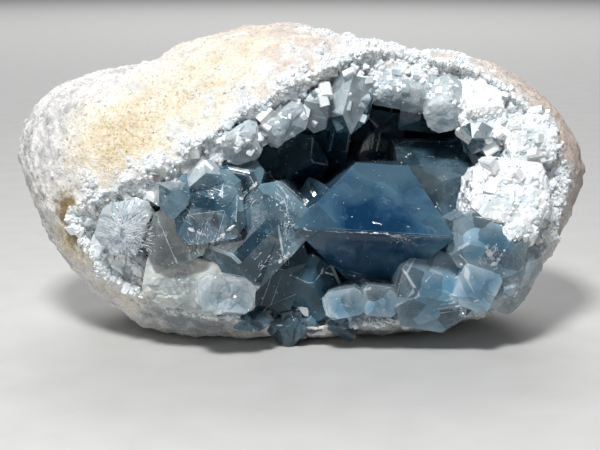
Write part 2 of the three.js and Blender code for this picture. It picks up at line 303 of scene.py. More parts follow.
class Mouth:
    """The broken mouth seen from the front, for telling skin, sugary rock and crystals apart."""

    STEPS = 8
    MIDDLE = (6.0, -40.0, 50.0)

    def __init__(self) -> None:
        """Draws a smooth closed line through the skin's edge."""
        points = np.array([[x, z] for x, _, z in SKIN_EDGE], float)
        before, after = np.roll(points, 1, 0), np.roll(points, -1, 0)
        beyond = np.roll(points, -2, 0)
        line = []
        for i in range(self.STEPS):
            t = i / self.STEPS
            line.append(0.5 * (2 * points + (after - before) * t
                               + (2 * before - 5 * points + 4 * after - beyond) * t ** 2
                               + (3 * points - before - 3 * after + beyond) * t ** 3))
        self.line = np.stack(line, 1).reshape(-1, 2)

    def inside(self, points: np.ndarray) -> np.ndarray:
        """Gives each point's distance inside the ring in millimetres, negative outside it."""
        x = points[:, 0] - DRAWING_TO_FRAME.x
        z = points[:, 2]
        odd = np.zeros(len(x), bool)
        near = np.full(len(x), np.inf)
        for (ax, az), (bx, bz) in zip(self.line, np.roll(self.line, -1, 0)):
            if az != bz:
                odd ^= ((az > z) != (bz > z)) & (x < (bx - ax) * (z - az) / (bz - az) + ax)
            length = (bx - ax) ** 2 + (bz - az) ** 2 or 1e-9
            t = np.clip(((x - ax) * (bx - ax) + (z - az) * (bz - az)) / length, 0, 1)
            near = np.minimum(near, np.hypot(x - ax - t * (bx - ax), z - az - t * (bz - az)))
        return np.where(odd, near, -near)

    def facing(self, points: np.ndarray, normals: np.ndarray) -> np.ndarray:
        """Gives how far a surface faces the middle of the mouth at each point, from -1 to 1."""
        inward = np.array(self.MIDDLE) - points
        inward /= np.linalg.norm(inward, axis=1, keepdims=True)
        return np.einsum("ij,ij->i", normals, inward)

    def sugar(self, points: np.ndarray, normals: np.ndarray) -> np.ndarray:
        """Gives how sugary the rock is at each point, from 0 on the skin to 1 in the mouth.

        The sugar reaches 3 mm out over the skin low down, 13 mm above the left part and up to
        14 mm more over the middle of the roof. The wall that faces the hollow is all sugary.
        """
        x, z = points[:, 0], points[:, 2]
        reach = 3 + 10 * np.clip((z - 45) / 20, 0, 1) * np.clip((70 - x) / 30, 0.1, 1)
        reach += 14 * np.exp(-((x - 26) / 25) ** 2) * np.clip((z - 70) / 15, 0, 1)
        patches = np.array([noise.noise(Vector(p) * 0.14) + 0.6 * noise.noise(Vector(p) * 0.45)
                            for p in points])
        ramp = (self.inside(points) + reach * (0.6 + 1.1 * patches)) / (reach * 0.9)
        wall = (self.facing(points, normals) - 0.02) / 0.2 * (self.inside(points) > -5)
        open_side = (points[:, 1] < 18 - 0.2 * z) & ~self.sill(points)
        return np.clip(np.maximum(ramp, wall), 0, 1) * open_side

    def sill(self, points: np.ndarray) -> np.ndarray:
        """Tells which points lie on the lower edge where dark crystals, in painted shade, hang over
        it.
        """
        return (np.abs(points[:, 0] + 4) < 16) & (points[:, 2] < 15) & (points[:, 1] < -28)

    def white(self, points: np.ndarray) -> np.ndarray:
        """Gives how white and bruised small crystals are, most at the roof's edge and sides.

        The white zone along the ring is 6 mm wide, and wider at the roof and at both ends.
        """
        x, z = points[:, 0], points[:, 2]
        width = 6 + 13 * np.clip((z - 50) / 20, 0, 1) + 8 * (x > 60) + 14 * (x < -44)
        return np.clip((width - self.inside(points)) / (0.5 * width), 0, 1) * (points[:, 1] < -12)


MOUTH = Mouth()


class Look(Enum):
    """Which finish a crystal takes, by its material slot."""

    CLEAR = 0
    SLATE = 1
    MILKY = 2
    ICY = 3
    CLOUDED = 4
    FROSTED = 5
    # The worn finish is paler: wear on chipped corners, painted highlight on edge strips.
    WORN = 6
    # SHADED is a darker copy of the celestite finish: painted shade.
    SHADED = 7
    DUSKY = 8
    # ROOT is a dark finish where the crust meets the rock: painted shade.
    ROOT = 9

    @property
    def own_share(self) -> float:
        """How sharply its faces keep to the crystal's own, less where they are bruised."""
        return {Look.FROSTED: 0.3, Look.ICY: 0.5, Look.CLOUDED: 0.5}.get(self, 1.0)


PALE = (Look.FROSTED, Look.ICY, Look.CLOUDED)


class Habit(Enum):
    """Forms of celestite, a prism with a roof, as in the CAD.

    The values are the slopes of the roof faces and of the hips in degrees, how far the hips
    reach in along the ridge, how much of the width and of the thickness each cut corner takes,
    how much more of the width the left corners take, and how far the top is blunted.
    """

    LENS = (49, 24, 0.05, 0.66, 0.98, 0.12, 0.01)
    BLOCK = (13, 26, 0.3, 0.3, 0.36, 0, 0.02)
    CHISEL = (36, 40, 0.25, 0.4, 0.5, 0, 0.03)
    SLAB = (18, 12, 0.2, 0.16, 0.3, 0, 0.02)
    STUMP = (9, 10, 0.4, 0.34, 0.4, 0, 0.09)
    PLAIN = (15, 25, 0.3, 0.12, 0.16, 0, 0.01)


@dataclass(frozen=True)
class Crystal:
    """One crystal, placed by its tip, its way of growing and its ridge.

    Attributes:
        habit: Its form.
        tip: Its top, in drawing millimetres.
        grows: The way it grows.
        turn: Its ridge's turn from level, in degrees.
        size: Width, thickness and length in millimetres.
        look: Its finish.
        chips: How many of its corners are knocked off.
        steps: How many growth steps stand on its faces.
    """

    habit: Habit
    tip: Triple
    grows: Triple
    turn: float
    size: Triple
    look: Look = Look.CLEAR
    chips: int = 4
    steps: int = 1

    PROUD = 0.15  # how far it stands out of its CAD solid, so that it covers it
    VOXEL, QUICK_VOXEL = 0.75, 1.1  # how finely a bruised crystal is remeshed
    BROKEN_STEPS = ((8, 2.6), (3.4, 1.3), (1.4, 0.5))  # their widths and heights

    def frame(self) -> Matrix:
        """Gives the matrix from the crystal's own millimetres to frame metres."""
        up = Vector(self.grows).normalized()
        level = Vector((0, 0, 1)).cross(up)
        if level.length < 0.2:
            level = Vector((1, 0, 0))
        level = (level - up * level.dot(up)).normalized()
        level.rotate(Matrix.Rotation(math.radians(self.turn), 3, up))
        turned = Matrix((level, up.cross(level), up)).transposed().to_4x4()
        place = Vector(self.tip) + DRAWING_TO_FRAME + up * self.PROUD
        return Matrix.Scale(MM, 4) @ Matrix.Translation(place) @ turned

    def planes(self) -> list[tuple[Vector, float]]:
        """Lists its cut faces as outward normals and distances, in its own millimetres."""
        roof, hip, reach, corner_w, corner_t, skew, blunt = self.habit.value
        half_w = self.size[0] / 2 + self.PROUD
        half_t = self.size[1] / 2 + self.PROUD
        roof_slope = math.tan(math.radians(roof))
        hip_slope = math.tan(math.radians(hip))
        v = 1 / (half_t * corner_t)
        made = [((0, 0, 1), -blunt * self.size[1])]
        for side in (-1, 1):
            made.append(((0, side * roof_slope, 1), 0))
            made.append(((side * hip_slope, 0, 1), hip_slope * half_w * (1 - 2 * reach)))
            u = 1 / (half_w * (corner_w - side * skew))
            for end in (-1, 1):
                made.append(((side * u, end * v, 0), u * half_w + v * half_t - 1))
        return [(Vector(n).normalized(), d / Vector(n).length) for n, d in made]

    def build(self, name: str, rng: random.Random, edge: float) -> bpy.types.Object:
        """Cuts the crystal from a block, with its growth steps, chips and worn edges.

        Args:
            name: The new object's name.
            rng: The seeded source of its chips and steps.
            edge: The width of its worn edges in millimetres.

        Returns:
            The crystal in frame metres.
        """
        obj = cut_block(tuple(s + 2 * self.PROUD for s in self.size), self.planes())
        obj.name = name
        for _ in range(self.steps):
            self.raise_step(obj, rng)
        for _ in range(self.chips):
            self.knock_corner(obj, rng)
        bruised = self.look in PALE
        if not bruised:
            bpy.ops.mesh.select_all(action="SELECT")
            bpy.ops.mesh.bevel(offset=edge, segments=1, affect="EDGES", clamp_overlap=True)
        bpy.ops.mesh.select_all(action="SELECT")
        bpy.ops.mesh.remove_doubles(threshold=0.01)
        bpy.ops.object.mode_set(mode="OBJECT")
        obj.data.transform(self.frame())
        if bruised:
            deep = self.look is Look.FROSTED and self.tip[2] > BRUISED_ABOVE
            self.bruise(obj, 1.0 if deep else 0.5)
        return obj

    def raise_step(self, obj: bpy.types.Object, rng: random.Random) -> None:
        """Raises a low plateau on one of the larger faces near the top."""
        mesh = bmesh.from_edit_mesh(obj.data)
        top = [f for f in mesh.faces if f.normal.z > 0.2 and len(f.verts) > 3]
        if not top:
            return
        bpy.ops.mesh.select_all(action="DESELECT")
        mesh.faces.ensure_lookup_table()
        face = rng.choice(sorted(top, key=lambda f: -f.calc_area())[:3])
        face.select_set(True)
        normal = face.normal.copy()
        reach = math.sqrt(face.calc_area())
        bmesh.update_edit_mesh(obj.data)
        bpy.ops.mesh.inset(thickness=reach * rng.uniform(0.08, 0.16), depth=0)
        slide = Vector((rng.uniform(-1, 1), rng.uniform(-1, 1), rng.uniform(-1, 1)))
        slide = (slide - normal * slide.dot(normal)) * reach * 0.03
        bpy.ops.transform.translate(value=slide + normal * rng.uniform(0.1, 0.22))

    def knock_corner(self, obj: bpy.types.Object, rng: random.Random) -> None:
        """Cuts a small flat off a corner near the top."""
        mesh = bmesh.from_edit_mesh(obj.data)
        near = [v.co.copy() for v in mesh.verts if v.co.z > -0.6 * self.size[1]]
        if not near:
            return
        corner = rng.choice(near)
        way = (corner - Vector((0, 0, -self.size[1] * 0.6))).normalized()
        way += Vector((rng.uniform(-0.5, 0.5), rng.uniform(-0.5, 0.5), rng.uniform(-0.5, 0.5)))
        way.normalize()
        cut(corner - way * rng.uniform(0.15, 0.7), way)

    def bruise(self, obj: bpy.types.Object, depth: float) -> None:
        """Breaks up a pale crystal's faces into hackly steps, deeper or shallower."""
        obj.data.remesh_voxel_size = self.VOXEL * MM
        activate(obj)
        bpy.ops.object.voxel_remesh()
        for size, height in self.BROKEN_STEPS:
            steps = texture("broken steps", "VORONOI", size, distance_metric="CHEBYCHEV",
                            color_mode="POSITION")
            modify(obj, "DISPLACE", texture=steps, texture_coords="LOCAL",
                   strength=height * depth * MM, mid_level=0.35)


# Crystals with Look.SHADED take a darker copy of the celestite finish: painted shade.
GREAT_CRYSTALS: list[Crystal] = [Crystal(*row) for row in (
    # the floor, right of the middle
    (Habit.LENS, (23, -49, 43), (0.02, -1, 0.08), -4, (50, 39, 58), Look.CLEAR, 5, 2),
    (Habit.SLAB, (51, -4, 66), (0.02, -0.08, 1), 2, (38, 36, 56), Look.SLATE, 3, 2),
    (Habit.BLOCK, (67, -5, 68), (0.05, -0.1, 1), 5, (15, 17, 40), Look.SHADED),
    (Habit.CHISEL, (43.5, -46.5, 21.5), (0.12, -1, 0.05), -12, (23, 26, 34), Look.MILKY, 5, 2),
    (Habit.STUMP, (14, -41, 17.5), (-0.1, -1, 0.05), 12, (13, 9, 22), Look.MILKY),
    (Habit.STUMP, (26, -42, 18.5), (0.1, -1, 0.05), -6, (12, 9.5, 22), Look.MILKY),
    # the left side
    (Habit.BLOCK, (-14, -46, 40), (-0.1, -1, 0.14), 47, (36, 23, 34), Look.SLATE, 6, 2),
    # these two, low at the front, take the darker SHADED finish: painted shade
    (Habit.BLOCK, (-9, -38, 22), (0.12, -1, -0.3), 74, (33, 18, 30), Look.SHADED, 4, 1),
    (Habit.CHISEL, (6, -37, 18), (0.18, -1, -0.3), 114, (27, 17, 30), Look.SHADED, 4, 1),
    (Habit.BLOCK, (-29, -48, 51), (-0.1, -1, 0.22), 8, (22, 22, 28), Look.SLATE, 6, 2),
    (Habit.CHISEL, (-20, -42, 61), (-0.1, -1, 0.35), -12, (16, 11, 24), Look.SLATE, 4, 1),
    (Habit.STUMP, (-40, -46, 41), (-0.2, -1, 0.1), 24, (20, 18, 26), Look.DUSKY, 6, 1),
    (Habit.BLOCK, (-57, -43, 44), (-0.3, -1, 0.15), 72, (18, 16, 22), Look.ICY, 7, 2),
    (Habit.SLAB, (-37, -43, 24), (-0.12, -1, -0.1), -12, (27, 18, 26), Look.CLOUDED, 5, 2),
    (Habit.STUMP, (-23, -48, 22.5), (0.1, -1, 0.12), -4, (18, 11, 26), Look.ICY, 7, 1),
    # the right side
    (Habit.CHISEL, (60, -48, 38), (0.05, -1, 0.12), -14, (25, 18, 36), Look.MILKY, 6, 2),
    (Habit.BLOCK, (56.5, -45.5, 24), (0.05, -1, 0.05), 66, (15, 13, 28), Look.MILKY, 5, 1),
    (Habit.CHISEL, (70, -41, 25), (0.25, -1, -0.05), 62, (24, 17, 28), Look.ICY, 5, 1),
    (Habit.BLOCK, (67, -40, 55), (0.08, -1, 0.4), -6, (24, 19, 28), Look.FROSTED, 8, 2),
    (Habit.CHISEL, (68, -44, 42), (0.1, -1, 0.2), 30, (11, 10, 24), Look.FROSTED, 5, 1),
    (Habit.STUMP, (75, -31, 69), (0.15, -1, 0.1), 12, (16, 15, 20), Look.FROSTED, 8, 1),
    # the edge of the roof
    (Habit.BLOCK, (-18, -45, 68), (0.06, -1, -0.5), 20, (11, 10, 20), Look.ICY),
    (Habit.BLOCK, (-5, -40, 74), (0.1, -1, -0.4), 34, (15, 9, 20), Look.ICY),
    (Habit.STUMP, (14, -29, 83), (0.05, -1, -0.6), 80, (8, 6, 14), Look.ICY),
    (Habit.SLAB, (33, -24, 81.5), (0, -1, -0.4), -12, (19, 8, 22), Look.ICY),
    (Habit.STUMP, (47, -28, 76), (-0.05, -1, -0.5), 20, (12, 11, 16), Look.ICY),
    (Habit.BLOCK, (59, -29, 75), (0.05, -1, -0.5), 10, (14, 9, 18), Look.FROSTED),
    # deep in the hollow, in the darker SHADED finish: painted shade
    (Habit.CHISEL, (-2, -14, 56), (0.25, -1, -0.1), 30, (25, 20, 46), Look.SHADED),
    (Habit.PLAIN, (9, -4, 66), (0.05, -1, -0.25), 82, (24, 17, 36), Look.SHADED),
    (Habit.PLAIN, (5, -24, 45), (0.05, -1, 0.4), 60, (19, 15, 44), Look.SHADED),
    (Habit.PLAIN, (28, 8, 64), (0, -1, 0.1), 80, (20, 17, 28), Look.SHADED),
    (Habit.PLAIN, (42, 0, 75), (0.05, -1, -0.15), 84, (16, 14, 26), Look.SHADED),
)]


@dataclass(frozen=True)
class CelestiteFinish:
    """Celestite, grown in a hollow: a heavy, glassy, translucent blue mineral.

    Its clear faces let light deep in, so a crystal's thick middle looks a darker blue than its
    margins, where veils and tiny bubbles make it milky. Its upper side is paler and its lower side
    deeper, partly milky skin and partly painted light from above, and its inner cracks flash
    lighter and darker, painted reflections.

    Attributes:
        name: The material's name.
        deep: Its colour in a crystal's middle, as sRGB hex.
        margin: Its colour towards a crystal's edges.
        veil: The colour of its milky wisps.
        milk: How much of it is milky, 0 to 1.
        transmission: How much light goes through it.
        roughness: How dull its faces are.
        kept: The colour it keeps of light that goes deep.
        density: How quickly it takes up the rest, per metre.
        marks: The depth of its uneven growth in millimetres.
        grooves: The depth of its fine striations in millimetres.
        facets: How much its inner cracks, seen through its faces, vary its brightness: painted
            reflections, lighter and darker by cell.
        sheen: How strongly its faces mirror the room.
    """

    name: str
    deep: str
    margin: str
    veil: str
    milk: float
    transmission: float
    roughness: float
    kept: str
    density: float
    marks: float = 0.03
    grooves: float = 0.012
    facets: float = 0.35
    sheen: float = 0.35

    def material(self) -> bpy.types.Material:
        """Makes the node material."""
        material, tree = new_material(self.name)
        place = add_node(tree, "TexCoord")["Object"]
        colour = self.colour(tree, place)
        smears = add_node(tree, "TexNoise", {
            "Vector": place, "Scale": per_mm(8), "Detail": 5.0, "Roughness": 0.6})[0]
        dullness = add_node(tree, "MapRange", {
            "Value": smears, "From Min": 0.35, "From Max": 0.7,
            "To Min": self.roughness * 0.4, "To Max": self.roughness * 2})[0]
        marks = add_node(tree, "TexNoise", {
            "Vector": place, "Scale": per_mm(2.6), "Detail": 6.0, "Roughness": 0.55})[0]
        growth = add_node(tree, "Bump", {
            "Height": marks, "Distance": self.marks * MM, "Strength": 1.0})[0]
        own = add_node(tree, "Attribute", attribute_name="own")["Vector"]
        drawn_out = add_node(tree, "Mapping", {"Vector": own, "Scale": (0.07, 2.2, 0.5)})[0]
        lines = add_node(tree, "TexNoise", {
            "Vector": drawn_out, "Scale": 1.0, "Detail": 3.0, "Roughness": 0.6})[0]
        striated = add_node(tree, "Bump", {
            "Height": lines, "Distance": self.grooves * MM, "Normal": growth})[0]
        shader = add_node(tree, "BsdfPrincipled", {
            "Base Color": colour, "Roughness": dullness, "IOR": CRYSTAL_IOR,
            "Specular IOR Level": self.sheen, "Transmission Weight": self.transmission,
            "Normal": striated})[0]
        inside = add_node(tree, "VolumeAbsorption", {
            "Color": self.kept, "Density": self.density})[0]
        add_node(tree, "OutputMaterial", {"Surface": shader, "Volume": inside})
        return material

    def colour(self, tree: bpy.types.NodeTree, place: bpy.types.NodeSocket) -> bpy.types.NodeSocket:
        """Makes its colour: deep in the middle, paler at the edges and above, with wisps and inner
        cracks.
        The paler upper side is partly painted light; the cracks' lighter and darker cells are painted
        reflections.

        Args:
            tree: The material's node tree.
            place: The coordinates.

        Returns:
            The colour's socket.
        """
        share = add_node(tree, "Attribute", attribute_name="share")["Vector"]
        height = add_node(tree, "SeparateXYZ", {0: share})[1]
        sides = add_node(tree, "VectorMath", {0: share}, operation="ABSOLUTE")[0]
        across = add_node(tree, "SeparateXYZ", {0: sides})
        zone = add_node(tree, "Math", {0: across[0], 1: across[1]}, operation="MAXIMUM")[0]
        clouds = add_node(tree, "TexNoise", {
            "Vector": place, "Scale": per_mm(13), "Detail": 5.0, "Roughness": 0.62,
            "Distortion": 0.8})[0]
        # height, the share's second axis, points up on most crystals: it makes their upper side paler
        # and lower side deeper, partly milky skin, partly painted light from above.
        for value, weight in ((clouds, 1.3), (height, 0.26)):
            zone = add_node(tree, "Math", {0: value, 1: weight, 2: zone},
                            operation="MULTIPLY_ADD")[0]
        toward_edge = add_node(tree, "MapRange", {
            "Value": zone, "From Min": 0.95, "From Max": 1.7})[0]
        body = add_node(tree, "Mix", {0: toward_edge, 6: self.deep, 7: self.margin},
                        data_type="RGBA")[2]
        wisps = add_node(tree, "TexNoise", {
            "Vector": place, "Scale": per_mm(7), "Detail": 9.0, "Roughness": 0.68,
            "Distortion": 1.2})[0]
        start = 0.68 - 0.3 * self.milk
        milky = add_node(tree, "MapRange", {
            "Value": wisps, "From Min": start, "From Max": start + 0.2, "To Max": 0.85})[0]
        colour = add_node(tree, "Mix", {0: milky, 6: body, 7: self.veil}, data_type="RGBA")[2]
        # The inner cracks make cells lighter and darker: painted reflections off the cracks.
        bend = add_node(tree, "TexNoise", {"Vector": place, "Scale": per_mm(9)})[1]
        bend = add_node(tree, "VectorMath", {0: bend, 1: (4 * MM,) * 3}, operation="MULTIPLY")[0]
        bent = add_node(tree, "VectorMath", {0: place, 1: bend}, operation="ADD")[0]
        cells = add_node(tree, "TexVoronoi", {
            "Vector": bent, "Scale": per_mm(8.5), "Randomness": 1.0})[1]
        crack = add_node(tree, "SeparateXYZ", {0: cells})[0]
        light = add_node(tree, "MapRange", {
            "Value": crack, "To Min": 1 - self.facets, "To Max": 1 + self.facets})[0]
        return add_node(tree, "VectorMath", {0: colour, "Scale": light}, operation="SCALE")[0]


FINISHES: dict[Look, CelestiteFinish] = {
    Look.CLEAR: CelestiteFinish(
        "clear blue celestite, grown faces", "#053F66", "#5A8096", "#86A3B5", 0.3, 0.5, 0.06,
        "#3585B8", 32, facets=0.2, sheen=0.1),
    Look.SLATE: CelestiteFinish(
        "slate blue celestite, grown faces", "#2F566B", "#7FA0B1", "#B3C4CC", 0.5, 0.6, 0.06,
        "#6C9CB4", 24, facets=0.5),
    Look.MILKY: CelestiteFinish(
        "milky blue celestite, grown faces", "#6391AC", "#B4CDDB", "#E0EAF0", 0.5, 0.58, 0.07,
        "#80B6D6", 18, 0.04, 0.03, 0.6),
    Look.ICY: CelestiteFinish(
        "icy white celestite, grown faces", "#9DB3BF", "#CFDBE1", "#F0F4F6", 0.65, 0.5, 0.12,
        "#A8C9DC", 16, 0.08, 0.03, 0.35),
    Look.CLOUDED: CelestiteFinish(
        "clouded celestite ledge, fibrous", "#A3B0B2", "#C9D0CE", "#EDEADF", 0.75, 0.35, 0.16,
        "#C9D3CE", 18, 0.15, 0.2, 0.25),
    Look.FROSTED: CelestiteFinish(
        "white celestite, broken and bruised", "#D3DDE3", "#F1F4F5", "#FAFBFB", 0.75, 0.12, 0.3,
        "#D2E2EC", 16, 0.15, facets=0.15),
    # A paler finish for chipped corners and narrow edge strips: wear on the chips, painted highlight
    # on the edges.
    Look.WORN: CelestiteFinish(
        "celestite corner, chipped, with painted edge highlight", "#94AEBF", "#C5D2DA", "#E4EAED", 0.7, 0.4, 0.18,
        "#9CC0D8", 24, 0.08, facets=0.3),
    # A darker copy of celestite for the crystals in the hollow and low at the front: painted shade.
    Look.SHADED: CelestiteFinish(
        "celestite darkened as painted shade", "#234A5C", "#567A8C", "#6E8B99", 0.25, 0.5, 0.07,
        "#4F8AA8", 36, facets=0.5, sheen=0.15),
    Look.DUSKY: CelestiteFinish(
        "dusky grey celestite, grown faces", "#2E4043", "#7A8C8D", "#BCC7C6", 0.5, 0.58, 0.06,
        "#86A2A4", 24, facets=0.6),
}


@dataclass(frozen=True)
class CrustRoot:
    """The roots of the crystals where they grow from the rock, packed with fine grey-blue grains.

    It stops the light at the back of the crust, and its dark colour is painted shade, so the hollow
    looks dark and deep.
    """

    # dark grey-blue for the hollow's back: painted shade
    colour: str = "#182731"
    grain: str = "#3A5361"

    def material(self) -> bpy.types.Material:
        """Makes the node material."""
        material, tree = new_material("celestite root, fine grained, darkened as painted shade")
        place = add_node(tree, "TexCoord")["Object"]
        grains = add_node(tree, "TexVoronoi", {"Vector": place, "Scale": per_mm(2)})[0]
        colour = add_node(tree, "ValToRGB", {
            0: grains, "ramp": [(0.1, self.grain), (0.6, self.colour)]})[0]
        shader = add_node(tree, "BsdfPrincipled", {"Base Color": colour, "Roughness": 0.7})[0]
        add_node(tree, "OutputMaterial", {"Surface": shader})
        return material


@dataclass(frozen=True)
class RockFinish:
    """Marl and limestone rind, weathered outside and sugary where it is broken at the mouth.

    Outside it is chalky white to cream with sandy, ochre and grey patches and fine dark specks; the
    grey near the floor is painted shade under it.
    """

    chalk: str = "#F0EEEB"
    shade: str = "#BDBBBF"
    sand: str = "#D4C096"
    tan: str = "#C8A562"
    cream: str = "#EEE6D4"
    ochre: str = "#8E7A52"
    grey: str = "#8F9599"
    pink: str = "#CFBEB4"
    dirt: str = "#A39A8C"
    speck: str = "#4E4438"
    sugar: str = "#EDF1F3"
    sugar_shade: str = "#B0BEC7"

    def material(self) -> bpy.types.Material:
        """Makes the node material."""
        material, tree = new_material("weathered marl rind")
        place = add_node(tree, "TexCoord")["Object"]
        # The grey layer also darkens the bottom where the grey stains lie near the floor: painted
        # shade.
        skin = self.layered(tree, place, self.chalk, (
            (7, 0.45, 0.68, self.shade, ""), (10, 0.6, 0.9, self.pink, "pink"),
            (9, 0.7, 1.05, self.cream, "sandy"), (5, 0.86, 1.3, self.sand, "sandy"),
            (0.9, 0.98, 1.2, self.sand, "sandy"), (1.8, 1.04, 1.3, self.tan, "sandy"),
            (6, 0.66, 0.95, self.grey, "grey"), (3, 0.78, 1.02, self.ochre, "ochre"),
            (1.5, 0.56, 0.68, self.dirt, ""), (0.9, 0.6, 0.69, self.speck, "")))
        sugar = self.layered(tree, place, self.sugar, ((2.4, 0.48, 0.7, self.sugar_shade, ""),))
        broken = add_node(tree, "Attribute", attribute_name="broken")["Fac"]
        colour = add_node(tree, "Mix", {0: broken, 6: skin, 7: sugar}, data_type="RGBA")[2]
        rough = add_node(tree, "MapRange", {"Value": broken, "To Min": 0.88, "To Max": 0.5})[0]
        links = {}
        for size, detail, roughness, height in ((2.2, 4.0, 0.6, 1.3), (0.7, 5.0, 0.7, 0.7)):
            lumps = add_node(tree, "TexNoise", {
                "Vector": place, "Scale": per_mm(size), "Detail": detail,
                "Roughness": roughness})[0]
            links = {"Normal": add_node(tree, "Bump", {
                "Height": lumps, "Distance": height * MM, "Strength": 1.0, **links})[0]}
        shader = add_node(tree, "BsdfPrincipled", {
            "Base Color": colour, "Roughness": rough, **links})[0]
        add_node(tree, "OutputMaterial", {"Surface": shader})
        return material

    def layered(self, tree: bpy.types.NodeTree, place: bpy.types.NodeSocket, base: str,
                layers: Sequence[tuple]) -> bpy.types.NodeSocket:
        """Lays noise patches of colour over a base colour.

        Args:
            tree: The material's node tree.
            place: The coordinates.
            base: The base colour.
            layers: Each one's patch width in millimetres, the noise where it starts and where it
                is full, its colour, and the attribute that brings it out or "".

        Returns:
            The colour's socket.
        """
        colour = base
        for size, low, high, top, drawn_by in layers:
            value = add_node(tree, "TexNoise", {
                "Vector": place, "Scale": per_mm(size), "Detail": 7.0, "Roughness": 0.68})[0]
            if drawn_by:
                stain = add_node(tree, "Attribute", attribute_name=drawn_by)["Fac"]
                value = add_node(tree, "Math", {0: value, 1: stain}, operation="ADD")[0]
            mask = add_node(tree, "MapRange", {
                "Value": value, "From Min": low, "From Max": high})[0]
            colour = add_node(tree, "Mix", {0: mask, 6: colour, 7: top}, data_type="RGBA")[2]
        return colour


@dataclass(frozen=True)
class GrainFinish:
    """Small grains, each with its own tone: glassy sugar, or dull sand.

    Attributes:
        name: The material's name.
        tones: The colours from the darkest grain to the lightest.
        transmission: How much light goes through them.
        roughness: How dull they are.
    """

    name: str
    tones: tuple[str, ...]
    transmission: float
    roughness: float

    def material(self) -> bpy.types.Material:
        """Makes the node material."""
        material, tree = new_material(self.name)
        tone = add_node(tree, "Attribute", attribute_name="tone")["Fac"]
        stops = [(i / (len(self.tones) - 1), t) for i, t in enumerate(self.tones)]
        colour = add_node(tree, "ValToRGB", {0: tone, "ramp": stops})[0]
        place = add_node(tree, "TexCoord")["Object"]
        mottle = add_node(tree, "TexNoise", {
            "Vector": place, "Scale": per_mm(0.8), "Detail": 3.0})[0]
        bump = add_node(tree, "Bump", {
            "Height": mottle, "Distance": 0.08 * MM, "Strength": 0.6})[0]
        shader = add_node(tree, "BsdfPrincipled", {
            "Base Color": colour, "Roughness": self.roughness, "IOR": GRAIN_IOR,
            "Transmission Weight": self.transmission, "Normal": bump})[0]
        add_node(tree, "OutputMaterial", {"Surface": shader})
        return material


SUGAR = GrainFinish("white celestite druse, glassy",
                    ("#BECBD3", "#DBE3E8", "#ECF0F2", "#F5F6F6", "#F0ECE2"), 0.15, 0.15)
# Near-white splinters: the fan's needles and bruises, and slivers laid as painted glints.
SHARD_AND_GLINT = GrainFinish("celestite splinter, cleaved, and painted glint",
                    ("#AFC0CB", "#CBD6DD", "#E6ECEF", "#F6F8F9"), 0.45, 0.1)
VEIL = GrainFinish("healed crack inside celestite",
                   ("#B9D0DF", "#DCE9F1", "#FFFFFF"), 0.45, 0.15)
DUST = GrainFinish("stone dust and chips", ("#D8DAD8", "#F4F4F2", "#FFFFFF"), 0.0, 0.6)


@dataclass(frozen=True)
class Stain:
    """A soft patch of colour on the rock, by place and reach in drawing millimetres."""

    kind: str
    place: Triple
    reach: float
    strength: float = 0.29


STAINS: list[Stain] = [Stain(*row) for row in (
    ("sandy", (-44, -34, 82), 31), ("sandy", (-15, -28, 98), 28),
    ("sandy", (-60, -36, 64), 22, 0.38), ("sandy", (62, -16, 92), 18, 0.3),
    ("sandy", (86, -20, 74), 14, 0.3), ("sandy", (-78, -26, 34), 12, 0.5),
    ("sandy", (-62, -34, 14), 14, 0.45), ("sandy", (-30, 20, 96), 30, 0.3),
    ("pink", (80, -10, 84), 26), ("pink", (93, -10, 60), 22, 0.45),
    ("pink", (50, 0, 98), 20, 0.3), ("pink", (-20, 10, 104), 30, 0.3),
    ("pink", (-4, -24, 99), 24, 0.3),
    ("ochre", (-77, -36, 46), 9, 0.62), ("ochre", (-74, -34, 34), 9, 0.45),
    ("ochre", (-50, -38, 10), 7, 0.3), ("ochre", (4, -38, 92), 5, 0.35),
    ("ochre", (92, -20, 76), 7, 0.25),
    # The grey stains on the left lobe are the rock's own grey; the three near the floor darken the
    # bottom of the rock, painted shade under it; the wide one at the back greys its lower back.
    ("grey", (-88, -20, 62), 20, 0.25), ("grey", (-76, -26, 78), 14, 0.15),
    ("grey", (-40, -40, 2), 24, 0.5), ("grey", (30, -30, 2), 24, 0.4),
    ("grey", (80, -24, 14), 16, 0.3), ("grey", (0, 40, 30), 40, 0.2),
)]


def texture(name: str, kind: str, size: float, **settings: object) -> bpy.types.Texture:
    """Makes a procedural texture whose features are this many millimetres wide."""
    made = bpy.data.textures.new(name, kind)
    made.noise_scale = size * MM
    for key, value in settings.items():
        setattr(made, key, value)
    return made


